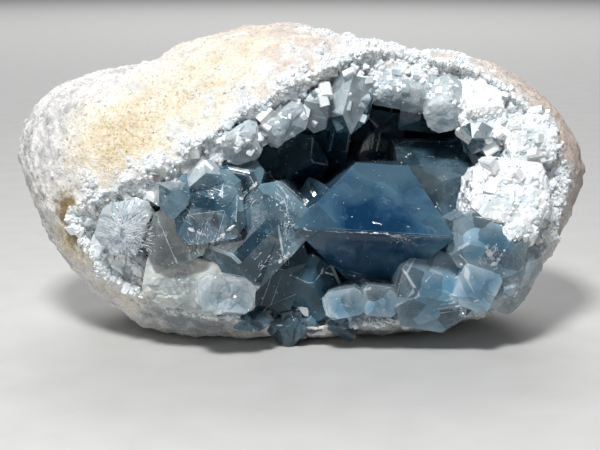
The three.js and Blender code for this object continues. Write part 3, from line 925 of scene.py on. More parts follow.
@dataclass
class Rind:
    """The rock nodule: the CAD solid with its grain, pits and rugged broken wall."""

    voxel: float = 1.08
    quick_voxel: float = 1.6
    lip: float = 5.0
    obj: bpy.types.Object = field(init=False)

    WEIGHT_LEVELS = 20

    def build(self) -> bpy.types.Object:
        """Models the rock and dresses it.

        Returns:
            The rock's object.
        """
        self.obj = copy_of_node("rind", "rind_rock")
        activate(self.obj)
        self.obj.data.remesh_voxel_size = self.voxel * MM
        bpy.ops.object.voxel_remesh()
        self.soften_lip()
        self.mark_regions()
        self.roughen()
        finish_piece(self.obj, "rind", [RockFinish().material()])
        bpy.ops.object.shade_smooth()
        return self.obj

    def group(self, name: str, share: np.ndarray) -> None:
        """Makes a vertex group from a share for each point."""
        made = self.obj.vertex_groups.new(name=name)
        for level in range(1, self.WEIGHT_LEVELS + 1):
            picked = np.nonzero(np.round(share * self.WEIGHT_LEVELS) == level)[0]
            if len(picked):
                made.add(picked.tolist(), level / self.WEIGHT_LEVELS, "REPLACE")

    def soften_lip(self) -> None:
        """Rounds the line where the skin meets the broken wall, as it crumbles there."""
        points = points_of(self.obj)
        near = np.exp(-(MOUTH.inside(points) / self.lip) ** 2) * (points[:, 1] < 12)
        self.group("lip", near)
        modify(self.obj, "SMOOTH", factor=0.5, iterations=14, vertex_group="lip")

    def mark_regions(self) -> None:
        """Marks where the rock is broken and where it is stained."""
        points = points_of(self.obj)
        normals = np.empty(points.size)
        self.obj.data.vertices.foreach_get("normal", normals)
        broken = MOUTH.sugar(points, normals.reshape(-1, 3))
        store(self.obj, "broken", broken)
        for kind in ("sandy", "ochre", "grey", "pink"):
            total = np.zeros(len(points))
            for stain in (s for s in STAINS if s.kind == kind):
                place = np.array(Vector(stain.place) + DRAWING_TO_FRAME)
                away = np.linalg.norm(points - place, axis=1) / stain.reach
                total += stain.strength * np.exp(-away ** 2)
            store(self.obj, kind, total)
        self.group("wall", broken)
        self.group("skin", 1 - broken)

    def roughen(self) -> None:
        """Gives the skin its lumps and pits, and the broken wall its angular grains."""
        relief = [
            ("skin", texture("lumps", "CLOUDS", 8, noise_depth=3), 2.4, 0.75),
            ("skin", texture("grit", "CLOUDS", 2.6, noise_depth=2, noise_type="HARD_NOISE"),
             1.3, 0.6),
            ("wall", texture("blocks", "VORONOI", 7, distance_metric="CHEBYCHEV",
                             color_mode="POSITION"), 1.6, 0.6),
            ("wall", texture("grains", "VORONOI", 2.6, distance_metric="MANHATTAN"), 1.2, 0.5),
        ]
        for group, grain, height, middle in relief:
            modify(self.obj, "DISPLACE", texture=grain, texture_coords="LOCAL",
                   strength=height * MM, mid_level=middle, vertex_group=group)


def turned_along(ways: np.ndarray, rng: np.random.Generator) -> np.ndarray:
    """Gives a turn for each way that sets the third axis along it, with a chance spin."""
    side = np.cross(ways, rng.normal(size=ways.shape))
    side /= np.linalg.norm(side, axis=1, keepdims=True)
    return np.stack([side, np.cross(ways, side), ways], axis=2)


@dataclass
class Scatter:
    """Many copies of a few small shapes, set on surfaces and joined in one mesh."""

    name: str
    shapes: list[Shape]
    seed: int
    places: list[np.ndarray] = field(default_factory=list)
    turns: list[np.ndarray] = field(default_factory=list)

    JITTER = 0.35  # how far a copy strays from its face's middle, as a share of the face's size
    SPREAD_LIMIT = 2.2  # no size is more than this many spreads from the middle one

    def __post_init__(self) -> None:
        """Starts the seeded source of its places and turns."""
        self.rng = np.random.default_rng(self.seed)

    def put(self, places: np.ndarray, ways: np.ndarray, sizes: np.ndarray) -> None:
        """Sets copies at some places, each upright along its way and with a chance spin."""
        self.places.append(places)
        self.turns.append(turned_along(ways, self.rng) * sizes[:, None, None])

    def lay(self, place: Vector, along: Vector, normal: Vector, size: Triple) -> None:
        """Lays one copy at a place, with its sides along a way, across it and off a surface."""
        along = along.normalized()
        across = normal.cross(along).normalized()
        turn = np.array([along, across, along.cross(across)]).T * np.array(size)
        self.places.append(np.array(place)[None])
        self.turns.append(turn[None])

    def sow(self, obj: bpy.types.Object, wanted: np.ndarray, count: int,
            size: tuple[float, float], lean: float = 0.5, lift: float = 0.0,
            toward: Vector | None = None) -> None:
        """Picks places at random on some faces of a mesh, by area.

        Args:
            obj: The mesh's object.
            wanted: The weight of each face.
            count: How many places.
            size: The middle size in millimetres and its spread as a share.
            lean: How far the copies lean from upright.
            lift: How far they stand out of the surface, as a share of their size.
            toward: A way that they all turn towards.
        """
        centre, normal, area = faces_of(obj)
        share = area * wanted
        picked = self.rng.choice(len(share), count, p=share / share.sum())
        up = normal[picked]
        jitter = self.rng.normal(size=(count, 3)) * np.sqrt(area[picked])[:, None] * self.JITTER
        jitter -= up * np.einsum("ij,ij->i", jitter, up)[:, None]
        spread = self.rng.normal(size=count).clip(-self.SPREAD_LIMIT, self.SPREAD_LIMIT)
        sizes = size[0] * np.exp(size[1] * spread)
        ways = up + self.rng.normal(size=(count, 3)) * lean
        if toward is not None:
            ways += np.array(toward)
        ways /= np.linalg.norm(ways, axis=1, keepdims=True)
        self.put(centre[picked] + jitter + ways * (sizes * lift)[:, None], ways, sizes)

    def join(self) -> tuple[bpy.types.Object, np.ndarray, np.ndarray]:
        """Sets the copies and joins them.

        Returns:
            The joined object, the number of each face's copy and each copy's place.
        """
        places, turns = np.concatenate(self.places), np.concatenate(self.turns)
        points, faces, copy_of_face, copy_of_point, start = [], [], [], [], 0
        for number, (place, turn) in enumerate(zip(places, turns)):
            shape, shape_faces = self.shapes[self.rng.integers(len(self.shapes))]
            points.append(shape @ turn.T + place)
            faces += [[i + start for i in face] for face in shape_faces]
            copy_of_face += [number] * len(shape_faces)
            copy_of_point += [number] * len(shape)
            start += len(shape)
        obj = mesh_object(self.name, np.concatenate(points) * MM, faces)
        tone = self.rng.uniform(size=len(places))
        store(obj, "tone", tone[copy_of_point])
        return obj, np.array(copy_of_face), places

    def finish(self, slot: str, finish: GrainFinish) -> bpy.types.Object:
        """Joins the copies in a piece of one finish that only adds to the CAD.

        Args:
            slot: Not used.
            finish: The finish.

        Returns:
            The piece's object.
        """
        obj, _, _ = self.join()
        finish_piece(obj, "", [finish.material()])
        return obj


def take_shape(obj: bpy.types.Object) -> Shape:
    """Leaves edit mode, takes an object's points and faces and removes it."""
    bpy.ops.object.mode_set(mode="OBJECT")
    points = np.array([v.co[:] for v in obj.data.vertices])
    faces = [list(p.vertices) for p in obj.data.polygons]
    bpy.data.objects.remove(obj)
    return points, faces


def broken_shapes(rng: np.random.Generator, count: int, scale: Triple, cuts: int,
                  depth: tuple[float, float] = (0.3, 0.45)) -> list[Shape]:
    """Models a few small broken grains or splinters, each a rough ball cut at chance angles.

    Args:
        rng: The seeded source.
        count: How many shapes.
        scale: Their width, thickness and height before the cuts.
        cuts: How many cuts each takes; with none, its corners are knocked in and out.
        depth: How near the middle the cuts go, as shares of the size.

    Returns:
        The points and faces of each.
    """
    shapes = []
    for _ in range(count):
        deselect()
        wide, thick, high = (s * rng.uniform(0.8, 1.2) for s in scale)
        bpy.ops.mesh.primitive_ico_sphere_add(subdivisions=1, radius=0.55,
                                              rotation=rng.uniform(0, 3, 3))
        bpy.ops.object.transform_apply(rotation=True)
        obj = bpy.context.object
        obj.scale = (wide, thick, high)
        bpy.ops.object.transform_apply(scale=True)
        bpy.ops.object.mode_set(mode="EDIT")
        for _ in range(cuts):
            way = Vector(rng.normal(size=3)).normalized()
            reach = Vector((way.x * wide, way.y * thick, way.z * high)).length
            cut(way * reach * rng.uniform(*depth), way)
        points, faces = take_shape(obj)
        if not cuts:
            points *= rng.uniform(0.7, 1.25, (len(points), 1))
        shapes.append((points, faces))
    return shapes


@dataclass
class Crust:
    """The crust of crystals: the CAD solid with its main crystals cut face by face.

    Attributes:
        edge: The width of a crystal's worn edges in millimetres.
        slim: The width under which a crystal is slim, with narrower worn edges.
        worn_and_highlight_area: The most that a face of a worn corner or an edge strip measures, in
            square millimetres; its paler finish is wear on the corners and painted highlight on the
            edges.
        root_reach: How near the rock a face is that counts as a root, in millimetres.
        obj: The crust's object.
    """

    edge: float = 0.16
    slim: float = 14.0
    worn_and_highlight_area: float = 6.0
    root_reach: float = 2.6
    obj: bpy.types.Object = field(init=False)

    def build(self) -> bpy.types.Object:
        """Models the crystals, fuses them with the CAD crust and dresses the result.

        Returns:
            The crust's object.
        """
        self.obj = copy_of_node("crystal_crust", "crystal_crust_faces")
        rng = random.Random(7)
        crystals = [c.build(f"crystal_{i}", rng, self.edge * (1 if c.size[0] > self.slim else 0.6))
                    for i, c in enumerate(GREAT_CRYSTALS)]
        self.fuse(crystals)
        numbers = self.find_looks()
        materials = [FINISHES[look].material() for look in Look if look is not Look.ROOT]
        materials.append(CrustRoot().material())
        finish_piece(self.obj, "crystal_crust", materials, numbers)
        activate(self.obj)
        bpy.ops.object.shade_flat()
        return self.obj

    def fuse(self, others: list[bpy.types.Object]) -> None:
        """Joins the crystals and the CAD crust in one closed mesh."""
        group = bpy.data.collections.new("crystals to fuse")
        for other in others:
            group.objects.link(other)
        modify(self.obj, "BOOLEAN", operation="UNION", operand_type="COLLECTION",
               collection=group, solver="MANIFOLD")
        modify(self.obj, "TRIANGULATE")
        for other in others:
            bpy.data.objects.remove(other)
        bpy.data.collections.remove(group)

    def find_looks(self) -> list[int]:
        """Finds each face's finish from the crystal that it lies on, or from the rock behind.

        Returns:
            The number of each face's finish.
        """
        centres, normals, areas = faces_of(self.obj)
        owner, flat = owners(centres, normals)
        white = MOUTH.white(centres)
        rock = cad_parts["rind"].data
        tree = BVHTree.FromPolygons([v.co for v in rock.vertices],
                                    [p.vertices for p in rock.polygons])
        numbers = []
        for i, polygon in enumerate(self.obj.data.polygons):
            if owner[i] >= 0:
                look = GREAT_CRYSTALS[owner[i]].look
                patchy = noise.noise(polygon.center / (4 * MM)) > 0.05
                # Small faces off the crystal's own, chips and edge strips, take the paler worn finish
                # in patches: wear on the chips, painted highlight on the edges.
                if not flat[i] and areas[i] < self.worn_and_highlight_area and patchy and look not in PALE:
                    look = Look.WORN
            else:
                # Lining behind the shade line takes the darker SHADED finish: painted shade.
                dark = Look.SHADED if centres[i][1] > SHADE_LINE else Look.SLATE
                look = dark if white[i] < 0.3 else Look.ICY
            # Faces against the rock take the dark root finish: painted shade at the back of the
            # crust.
            hit = tree.ray_cast(polygon.center, polygon.normal, self.root_reach * MM)
            if hit[0] is not None and hit[1].dot(polygon.normal) < -0.5:
                look = Look.ROOT
            numbers.append(look.value)
        self.store_own_places(owner)
        return numbers

    def store_own_places(self, owner: np.ndarray) -> None:
        """Stores each corner's place in its own crystal, in millimetres and as a share."""
        mesh = self.obj.data
        corner_point = np.empty(len(mesh.loops), np.int32)
        mesh.loops.foreach_get("vertex_index", corner_point)
        sides = np.empty(len(mesh.polygons), np.int32)
        mesh.polygons.foreach_get("loop_total", sides)
        corner_owner = np.repeat(owner, sides)
        points = points_of(self.obj)[corner_point]
        own = points.copy()
        share = np.full((len(points), 3), 0.55)
        for number, crystal in enumerate(GREAT_CRYSTALS):
            mine = corner_owner == number
            matrix = np.array(crystal.frame().inverted())
            own[mine] = (points[mine] * MM) @ matrix[:3, :3].T + matrix[:3, 3]
            share[mine] = own[mine] / (np.array(crystal.size) / 2)
        store(self.obj, "own", own, "FLOAT_VECTOR", "CORNER")
        store(self.obj, "share", share, "FLOAT_VECTOR", "CORNER")


def owners(centres: np.ndarray, normals: np.ndarray) -> tuple[np.ndarray, np.ndarray]:
    """Tells which great crystal each face lies on.

    Args:
        centres: The faces' middles, in frame millimetres.
        normals: Their outward directions.

    Returns:
        The crystal's number, or -1, and whether the face lies along one of its own faces.
    """
    owner = np.full(len(centres), -1)
    flat = np.zeros(len(centres), bool)
    best = np.full(len(centres), OWNED_WITHIN)
    for number, crystal in enumerate(GREAT_CRYSTALS):
        matrix = np.array(crystal.frame().inverted())
        local = (centres * MM) @ matrix[:3, :3].T + matrix[:3, 3]
        local_normal = normals @ (matrix[:3, :3].T * MM)
        width, thick, length = (s / 2 for s in crystal.size)
        out = np.maximum.reduce([
            np.abs(local[:, 0]) - width, np.abs(local[:, 1]) - thick,
            local[:, 2], -local[:, 2] - 2 * length])
        faces = [(1, 0, 0), (-1, 0, 0), (0, 1, 0), (0, -1, 0)]
        for normal, distance in crystal.planes():
            out = np.maximum(out, local @ np.array(normal) - distance)
            faces.append(normal[:])
        out = np.abs(out) * crystal.look.own_share
        mine = out < best
        along = np.max(local_normal @ np.array(faces).T, axis=1) > ALONG
        owner[mine], flat[mine], best[mine] = number, along[mine], out[mine]
    return owner, flat


@dataclass
class SmallCrystals:
    """Small crystals on the lining between the great ones, white at the roof's edge."""

    crust: bpy.types.Object
    rind: bpy.types.Object
    lining_count: int = 230
    rim_count: int = 1300
    sill_count: int = 45
    edge_count: int = 300
    cluster_count: int = 330

    MASTER_SIZE = (10, 7.5, 14)
    LOOKS = (Look.SHADED, Look.ICY, Look.FROSTED, Look.SLATE)

    def masters(self) -> list[Shape]:
        """Cuts one small crystal of each of a few forms, one unit wide."""
        shapes = []
        for habit in (Habit.BLOCK, Habit.CHISEL, Habit.PLAIN, Habit.STUMP):
            model = Crystal(habit, (0, 0, 0), (0, 0, 1), 0, self.MASTER_SIZE)
            points, faces = take_shape(cut_block(self.MASTER_SIZE, model.planes()))
            shapes.append((points / self.MASTER_SIZE[0], faces))
        return shapes

    def build(self) -> bpy.types.Object:
        """Sets the small crystals on the crust's lining and on the broken wall.

        Returns:
            Their joined object.
        """
        scatter = Scatter("small_crystals", self.masters(), 12)
        centres, normals, _ = faces_of(self.crust)
        owner, _ = owners(centres, normals)
        white = MOUTH.white(centres)
        lining = (owner < 0) & (MOUTH.facing(centres, normals) > 0) & (centres[:, 2] > 9)
        lining &= (MOUTH.inside(centres) > 9) & (white < 0.3)
        scatter.sow(self.crust, lining, self.lining_count, (4.6, 0.3), 0.4, 0.5)
        rock, rock_normals, _ = faces_of(self.rind)
        depth = MOUTH.inside(rock)
        rim = (depth > 1.5) & (depth < 15) & (rock[:, 1] < 4)
        rim &= MOUTH.sugar(rock, rock_normals) > 0.8
        scatter.sow(self.rind, rim, self.rim_count, (2.3, 0.4), 0.5, 0.15)
        sill = MOUTH.sill(rock) & (depth > -2) & (rock[:, 2] > 4)
        forward = Vector((0, -0.5, 0))
        scatter.sow(self.rind, sill, self.sill_count, (4.5, 0.3), 0.4, 0.1, forward)
        roof = (white > 0.45) & (centres[:, 2] > 60) & (normals[:, 1] < 0.3)
        scatter.sow(self.crust, roof, self.edge_count, (1.9, 0.35), 0.5, 0.1)
        broken = (slots_of(self.crust) == Look.FROSTED.value) & (centres[:, 0] < 82)
        broken &= centres[:, 2] > BRUISED_ABOVE
        scatter.sow(self.crust, broken, self.cluster_count, (2.0, 0.35), 0.6, -0.25)
        obj, copy_of_face, places = scatter.join()
        store(obj, "share", np.full((len(obj.data.loops), 3), 0.6), "FLOAT_VECTOR", "CORNER")
        numbers = self.pick_looks(places, scatter.rng)[copy_of_face]
        finish_piece(obj, "", [FINISHES[n].material() for n in self.LOOKS], numbers)
        return obj

    def pick_looks(self, places: np.ndarray, rng: np.random.Generator) -> np.ndarray:
        """Gives each crystal's number in LOOKS: white at the edges, dark in the hollow and sill; in
        the hollow the dark finish is painted shade.
        """
        white = MOUTH.white(places) + rng.normal(0, 0.15, len(places))
        white[(np.abs(places[:, 0] + 4) < 18) & (places[:, 2] < 20)] = 0
        white[-self.cluster_count:] = 1
        # Behind the shade line the darker SHADED finish: painted shade.
        dark = np.where(places[:, 1] > SHADE_LINE, 0, 3)
        return np.where(white > 0.75, 2, np.where(white > 0.35, 1, dark)).astype(np.int32)


@dataclass
class Druse:
    """The sugary grains on the broken wall, the frosted crystals and the hollow's edge."""

    rind: bpy.types.Object
    crust: bpy.types.Object
    wall_count: int = 4600
    lip_count: int = 4200
    frost_count: int = 500
    share_when_quick: float = 0.4

    def build(self) -> bpy.types.Object:
        """Scatters the grains and joins them.

        Returns:
            The druse's object.
        """
        shapes = broken_shapes(np.random.default_rng(3), 14, (1.15, 1, 1.15), 0)
        scatter = Scatter("druse_grains", shapes, 41)
        part = 1
        centres, normals, _ = faces_of(self.rind)
        depth = MOUTH.inside(centres)
        sugar = np.clip(MOUTH.sugar(centres, normals) * 2 - 1, 0, 1)
        sugar *= (depth < 20) & (centres[:, 1] < 6)
        _, crust_normals, _ = faces_of(self.crust)
        frost = (slots_of(self.crust) == Look.FROSTED.value) & (crust_normals[:, 1] < 0.4)
        for obj, wanted, count, size, lean, lift in (
                (self.rind, sugar * (depth > 1), self.wall_count, 1.45, 0.6, -0.2),
                (self.rind, sugar * (depth < 3), self.lip_count, 0.85, 0.6, -0.22),
                (self.crust, frost, self.frost_count, 0.8, 0.5, -0.1)):
            scatter.sow(obj, wanted, round(count * part), (size, 0.4), lean, lift)
        return scatter.finish("celestite", SUGAR)


class Sight:
    """Lines of sight from the camera to the crystals.

    Details are placed by where the photograph shows them, in its pixels across and down.
    """

    WIDTH, HEIGHT = 600, 450

    def __init__(self, obj: bpy.types.Object) -> None:
        """Takes the piece that the lines of sight meet."""
        self.tree = BVHTree.FromPolygons([v.co / MM for v in obj.data.vertices],
                                         [p.vertices for p in obj.data.polygons])
        pitch = math.radians(Studio.CAMERA_PITCH)
        self.forward = Vector((0, math.cos(pitch), -math.sin(pitch)))
        self.up = Vector((0, math.sin(pitch), math.cos(pitch)))
        self.eye = Vector(Studio.CAMERA_PLACE) + DRAWING_TO_FRAME
        self.focal = Studio.LENS / Studio.SENSOR * self.WIDTH

    def way(self, across: float, down: float) -> Vector:
        """Gives the way from the camera through a point of the picture."""
        right = Vector((1, 0, 0)) * (across - self.WIDTH / 2)
        up = self.up * (self.HEIGHT / 2 - down)
        return (self.forward * self.focal + right + up).normalized()

    def meet(self, across: float, down: float) -> tuple[Vector, Vector] | None:
        """Finds the place in frame millimetres and the surface's direction at a picture point."""
        place, normal, _, _ = self.tree.ray_cast(self.eye, self.way(across, down))
        return None if place is None else (place, normal)


@dataclass(frozen=True)
class GlintSliver:
    """A bright sliver from one picture point to another: mostly a painted glint, on the ridge's
    bruise a chip.

    Attributes:
        start: Where it starts, in pixels across and down.
        end: Where it ends.
        width: Its width in millimetres.
    """

    start: tuple[float, float]
    end: tuple[float, float]
    width: float


GLINT_SLIVERS: list[GlintSliver] = [GlintSliver(*row) for row in (
    # painted highlight along the ridge of the main crystal, its bruise, and painted glints on its
    # faces
    ((303, 230), (338, 232), 0.3), ((336, 232), (362, 232.5), 0.4), ((360, 232.5), (388, 233.5), 0.7),
    ((386, 234), (398, 236), 0.9), ((373, 222), (382, 225), 0.8), ((303, 228), (307, 230), 1.0),
    ((436, 201), (441, 211), 0.5), ((406, 226), (410, 227), 0.4), ((417, 208), (420, 209), 0.5),
    ((320, 271), (334, 276), 1.9), ((364, 292), (371, 287), 1.3),
    # painted glints on the cleavage planes and cracks at the left
    ((240, 200), (257, 182), 1.6), ((235, 225), (221, 237), 1.6), ((221, 237), (207, 248), 1.3),
    ((237, 194), (236, 222), 0.5), ((200, 183), (223, 192), 0.6), ((189, 228), (203, 235), 1.3),
    ((268, 172), (290, 200), 1.3), ((276, 206), (284, 201), 1.4), ((291, 228), (295, 223), 1.0),
    ((279, 263), (289, 253), 1.3), ((283, 256), (289, 259), 0.8), ((262, 252), (254, 260), 0.3),
    ((262, 273), (255, 281), 0.5), ((178, 200), (190, 212), 0.6), ((150, 201), (176, 214), 0.7),
    ((164, 196), (186, 205), 0.6),
    # painted glints on the crystals at the right
    ((436, 268), (447, 262), 0.8), ((425, 282), (431, 275), 0.6), ((452, 280), (460, 276), 0.7),
    ((460, 254), (468, 264), 0.5), ((486, 246), (497, 268), 2.6), ((496, 262), (505, 250), 1.4),
    ((474, 302), (479, 300), 0.9), ((511, 299), (518, 291), 0.7), ((439, 305), (462, 301), 0.6),
    ((437, 309), (464, 305), 0.5), ((440, 313), (463, 310), 0.4), ((405, 158), (409, 154), 0.6),
    ((427, 156), (434, 157), 0.5),
)]


@dataclass(frozen=True)
class GlintSheaf:
    """A sheaf of fine bright needles that paint a glint or, if they are short and stray, a bruise.

    Attributes:
        place: Its middle, in pixels across and down.
        angle: The needles' turn from level in degrees.
        spread: How far they lie from the middle, across and down.
        reach: Their shortest and longest length in pixels.
        stray: How far their turns differ, in radians.
        count: How many there are.
    """

    place: tuple[float, float]
    angle: float
    spread: tuple[float, float] = (6, 6)
    reach: tuple[float, float] = (1.5, 7)
    stray: float = 0.4
    count: int = 26


GLINT_SHEAVES: list[GlintSheaf] = [GlintSheaf(*row) for row in (
    ((405, 240), 170, (7, 2.2), (0.6, 2.2), 1.0, 110), ((398, 236), 175, (5, 1)),
    ((168, 202), 150), ((186, 214), 150), ((205, 232), 100),
    ((212, 248), 60, (4, 10), (2, 10)), ((196, 244), 110),
    ((228, 190), 20, (9, 4)), ((250, 196), 45, (4, 9), (2, 10)),
    ((176, 192), 165), ((226, 240), 40, (9, 7), (2, 10)),
    ((280, 196), 120, (5, 9), (2, 9)), ((288, 214), 110, (3, 9), (2, 8)),
    ((287, 228), 70, (2, 8)), ((268, 262), 50), ((150, 250), 130),
    ((132, 268), 160), ((216, 190), 10), ((496, 252), 60),
    ((488, 262), 110), ((284, 257), 30, (4, 4), (1, 5), 1.0, 40),
    ((243, 143), 60, (10, 10), (1, 6), 1.0, 60),
    ((280, 132), 30, (14, 9), (1, 6), 1.0, 80),
    ((440, 106), 10, (20, 8), (1, 5), 1.0, 80),
    ((470, 128), 150, (18, 8), (1, 5), 1.0, 70),
    ((350, 100), 80, (12, 8), (1, 5), 1.0, 40),
)]


@dataclass
class Splinters:
    """Cleaved slivers, flakes and sheaves laid as painted glints, the white fan of needles at the
    left and the bruises on the edges, partly wear and partly painted sparkle.

    The fan's place and reach and the corners of the patch of glint flakes are in the picture's
    pixels.
    """

    crust: bpy.types.Object
    fan: tuple[float, float] = (122.0, 234.0)
    fan_reach: tuple[float, float] = (30.0, 40.0)
    glint_flakes_from: tuple[float, float] = (140.0, 165.0)
    glint_flakes_to: tuple[float, float] = (300.0, 285.0)
    needle_count: int = 1100
    glint_flake_count: int = 220
    bruise_and_sparkle_count: int = 500
    scatter: Scatter = field(init=False)
    sight: Sight = field(init=False)

    THICKEST = 0.3  # of a splinter, in millimetres
    SHORTEST = 0.3
    SUNK = 0.02  # how far its middle lies in the crystal

    def build(self) -> bpy.types.Object:
        """Lays them on the crystals.

        Returns:
            Their joined object.
        """
        shapes = broken_shapes(np.random.default_rng(5), 8, (1, 1, 1), 3)
        self.scatter = Scatter("splinters_and_painted_glints", shapes, 17)
        self.sight = Sight(self.crust)
        rng = self.scatter.rng
        for sliver in GLINT_SLIVERS:
            self.break_up(sliver)
        self.spread_fan()
        # Flakes strewn over the left crystals: painted glints.
        for _ in range(self.glint_flake_count):
            middle = rng.uniform(self.glint_flakes_from, self.glint_flakes_to)
            self.strew(middle, rng.uniform(0, 3.14), (0.6, 2.4))
        for sheaf in GLINT_SHEAVES:
            for _ in range(sheaf.count):
                middle = np.array(sheaf.place) + rng.normal(0, sheaf.spread)
                turn = math.radians(sheaf.angle) + rng.normal(0, sheaf.stray)
                self.strew(middle, turn, sheaf.reach)
        # Bruises on narrow edge faces: partly wear, partly painted sparkle.
        _, normals, areas = faces_of(self.crust)
        narrow = (areas < 6) & (areas > 0.3) & (normals[:, 1] < 0.1)
        self.scatter.sow(self.crust, narrow, self.bruise_and_sparkle_count, (0.4, 0.4), 0.8)
        return self.scatter.finish("celestite", SHARD_AND_GLINT)

    def lay(self, start: np.ndarray, end: np.ndarray, width: float) -> None:
        """Lays one splinter between two picture points, if they show the crystals."""
        first, last, middle = (self.sight.meet(*p) for p in (start, end, (start + end) / 2))
        if not first or not last or not middle:
            return
        along = last[0] - first[0]
        toward = (self.sight.eye - middle[0]).normalized()
        if abs(along.dot(toward)) > 0.75 * along.length:
            along -= toward * along.dot(toward)
        size = (max(along.length, self.SHORTEST), width, min(self.THICKEST, width * 0.4))
        self.scatter.lay(middle[0] - toward * self.SUNK, along, middle[1] + toward, size)

    def break_up(self, sliver: GlintSliver) -> None:
        """Lays one sliver as a row of splinters of uneven length and width."""
        rng = self.scatter.rng
        start, end = np.array(sliver.start), np.array(sliver.end)
        length = float(np.hypot(*(end - start)))
        done = 0.0
        while done < length:
            piece = rng.uniform(2, 7)
            near = start + (end - start) * min(done / length, 1)
            far = start + (end - start) * min((done + piece) / length, 1)
            stray = rng.normal(0, 0.25 * sliver.width + 0.1, 2)
            self.lay(near + stray, far + stray, sliver.width * rng.uniform(0.3, 1.1))
            done += piece * rng.uniform(0.5, 1.3)

    def strew(self, middle: np.ndarray, angle: float, reach: tuple[float, float],
              width: tuple[float, float] = (0.08, 0.24)) -> None:
        """Lays one thin needle at a picture point, turned by an angle from level."""
        rng = self.scatter.rng
        half = rng.uniform(*reach) / 2 * np.array((math.cos(angle), -math.sin(angle)))
        self.lay(middle - half, middle + half, rng.uniform(*width))

    def spread_fan(self) -> None:
        """Lays fine needles that spread out from one place, a broken sheaf of crystals."""
        rng = self.scatter.rng
        for _ in range(self.needle_count):
            angle = rng.uniform(0, 6.28)
            reach = rng.uniform(0.1, 1) ** 0.7
            way = np.array((math.cos(angle), math.sin(angle)))
            middle = np.array(self.fan) + np.array(self.fan_reach) * reach * way
            self.strew(middle, -angle - rng.normal(0, 0.3), (4, 12), (0.12, 0.4))


@dataclass
class Veils:
    """Healed cracks inside the clear crystals, which flash where they catch the light."""

    per_crystal: int = 9
    front: float = -30.0

    def build(self) -> bpy.types.Object:
        """Sets thin flakes just below the faces of the clear and milky crystals at the front.

        Returns:
            Their joined object.
        """
        shapes = broken_shapes(np.random.default_rng(8), 8, (1.1, 1.4, 0.02), 4)
        scatter = Scatter("inner_veils", shapes, 23)
        rng = scatter.rng
        for crystal in GREAT_CRYSTALS:
            if crystal.look not in (Look.CLEAR, Look.MILKY) or crystal.tip[1] > self.front:
                continue
            matrix = crystal.frame()
            wide, thick, _ = crystal.size
            for _ in range(self.per_crystal):
                local = Vector((rng.uniform(-0.34, 0.34) * wide, rng.uniform(-0.3, 0.3) * thick,
                                -rng.uniform(0.3, 0.75) * thick))
                place = np.array(matrix @ local) / MM
                way = matrix.to_3x3() @ Vector((rng.normal(), rng.normal(), rng.normal() * 0.5))
                size = min(thick, wide) * rng.uniform(0.08, 0.3)
                scatter.put(place[None], np.array(way.normalized())[None], np.array([size]))
        return scatter.finish("celestite", VEIL)


@dataclass
class Dust:
    """Specks of stone dust on the crystals' faces."""

    crust: bpy.types.Object
    count: int = 480

    def build(self) -> bpy.types.Object:
        """Sprinkles the specks on faces that look forward or up.

        Returns:
            Their joined object.
        """
        shapes = broken_shapes(np.random.default_rng(9), 5, (1, 0.7, 0.6), 2)
        scatter = Scatter("dust_specks", shapes, 31)
        centres, normals, _ = faces_of(self.crust)
        open_faces = (normals[:, 1] < -0.2) | ((normals[:, 2] > 0.5) & (centres[:, 2] < 60))
        scatter.sow(self.crust, open_faces & (centres[:, 1] < -10), self.count, (0.2, 0.4), 0.3, 0.1)
        return scatter.finish("rock", DUST)


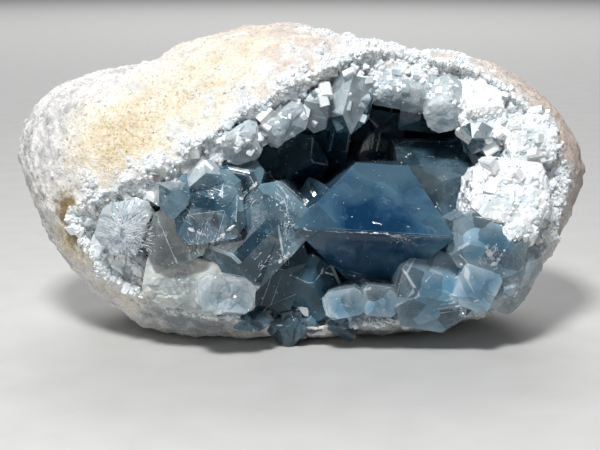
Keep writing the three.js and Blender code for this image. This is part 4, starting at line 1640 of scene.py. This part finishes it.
class Studio:
    """The floor, the lights and the camera at the photograph's viewing angle."""

    CAMERA_PLACE = (0.0, -424.0, 125.0)
    CAMERA_PITCH = 12.0
    LENS = 74.04
    SENSOR = 36.0

    def build(self) -> None:
        """Sets up everything that isn't part of the object."""
        self.floor()
        self.lights()
        self.camera()
        bpy.context.scene.view_settings.view_transform = "Standard"
        bpy.context.scene.cycles.use_denoising = True

    def floor(self) -> None:
        """Lays a plain pale floor."""
        deselect()
        bpy.ops.mesh.primitive_plane_add(size=12, location=(0, 3, 0))
        obj = bpy.context.object
        obj.name = "studio_floor"
        material, tree = new_material("pale studio floor")
        place = add_node(tree, "TexCoord")["Object"]
        grain = add_node(tree, "TexNoise", {"Vector": place, "Scale": 60.0, "Detail": 4.0})[0]
        colour = add_node(tree, "ValToRGB", {
            0: grain, "ramp": [(0.3, "#B4B4B2"), (0.7, "#BABAB8")]})[0]
        shader = add_node(tree, "BsdfPrincipled", {"Base Color": colour, "Roughness": 0.65})[0]
        add_node(tree, "OutputMaterial", {"Surface": shader})
        obj.data.materials.append(material)

    def lights(self) -> None:
        """Hangs a soft key light above the front, a weak fill and a light over the backdrop."""
        world = bpy.data.worlds.new("pale room")
        world.use_nodes = True
        background = world.node_tree.nodes["Background"]
        background.inputs["Color"].default_value = linear("#C9CDD2")
        background.inputs["Strength"].default_value = 0.26
        bpy.context.scene.world = world
        for name, place, target, size, power in (
                ("key", (-0.1, -0.47, 0.7), (0, 0, 0.05), 0.14, 8.4),
                ("fill", (-0.5, -0.6, 0.12), (0, 0, 0.05), 0.4, 1.2),
                ("backdrop", (0, 2.2, 1.8), (0, 1.9, 0), 2.4, 60.0)):
            deselect()
            bpy.ops.object.light_add(type="AREA", location=place)
            lamp = bpy.context.object
            lamp.name = f"{name}_light"
            lamp.data.size = size
            lamp.data.energy = power
            way = Vector(target) - Vector(place)
            lamp.rotation_euler = way.to_track_quat("-Z", "Y").to_euler()

    def camera(self) -> None:
        """Sets the camera where the photograph was taken from."""
        place = (Vector(self.CAMERA_PLACE) + DRAWING_TO_FRAME) * MM
        deselect()
        bpy.ops.object.camera_add(
            location=place, rotation=(math.radians(90 - self.CAMERA_PITCH), 0, 0))
        camera = bpy.context.object
        camera.data.lens = self.LENS
        camera.data.sensor_width = self.SENSOR
        camera.data.clip_start = 0.01
        bpy.context.scene.camera = camera


def main() -> None:
    logging.basicConfig(level=logging.INFO, format="%(name)s: %(message)s")
    rind = Rind().build()
    crust = Crust().build()
    SmallCrystals(crust, rind).build()
    Druse(rind, crust).build()
    Splinters(crust).build()
    Veils().build()
    Dust(crust).build()
    Studio().build()


if __name__ == "__main__":
    main()
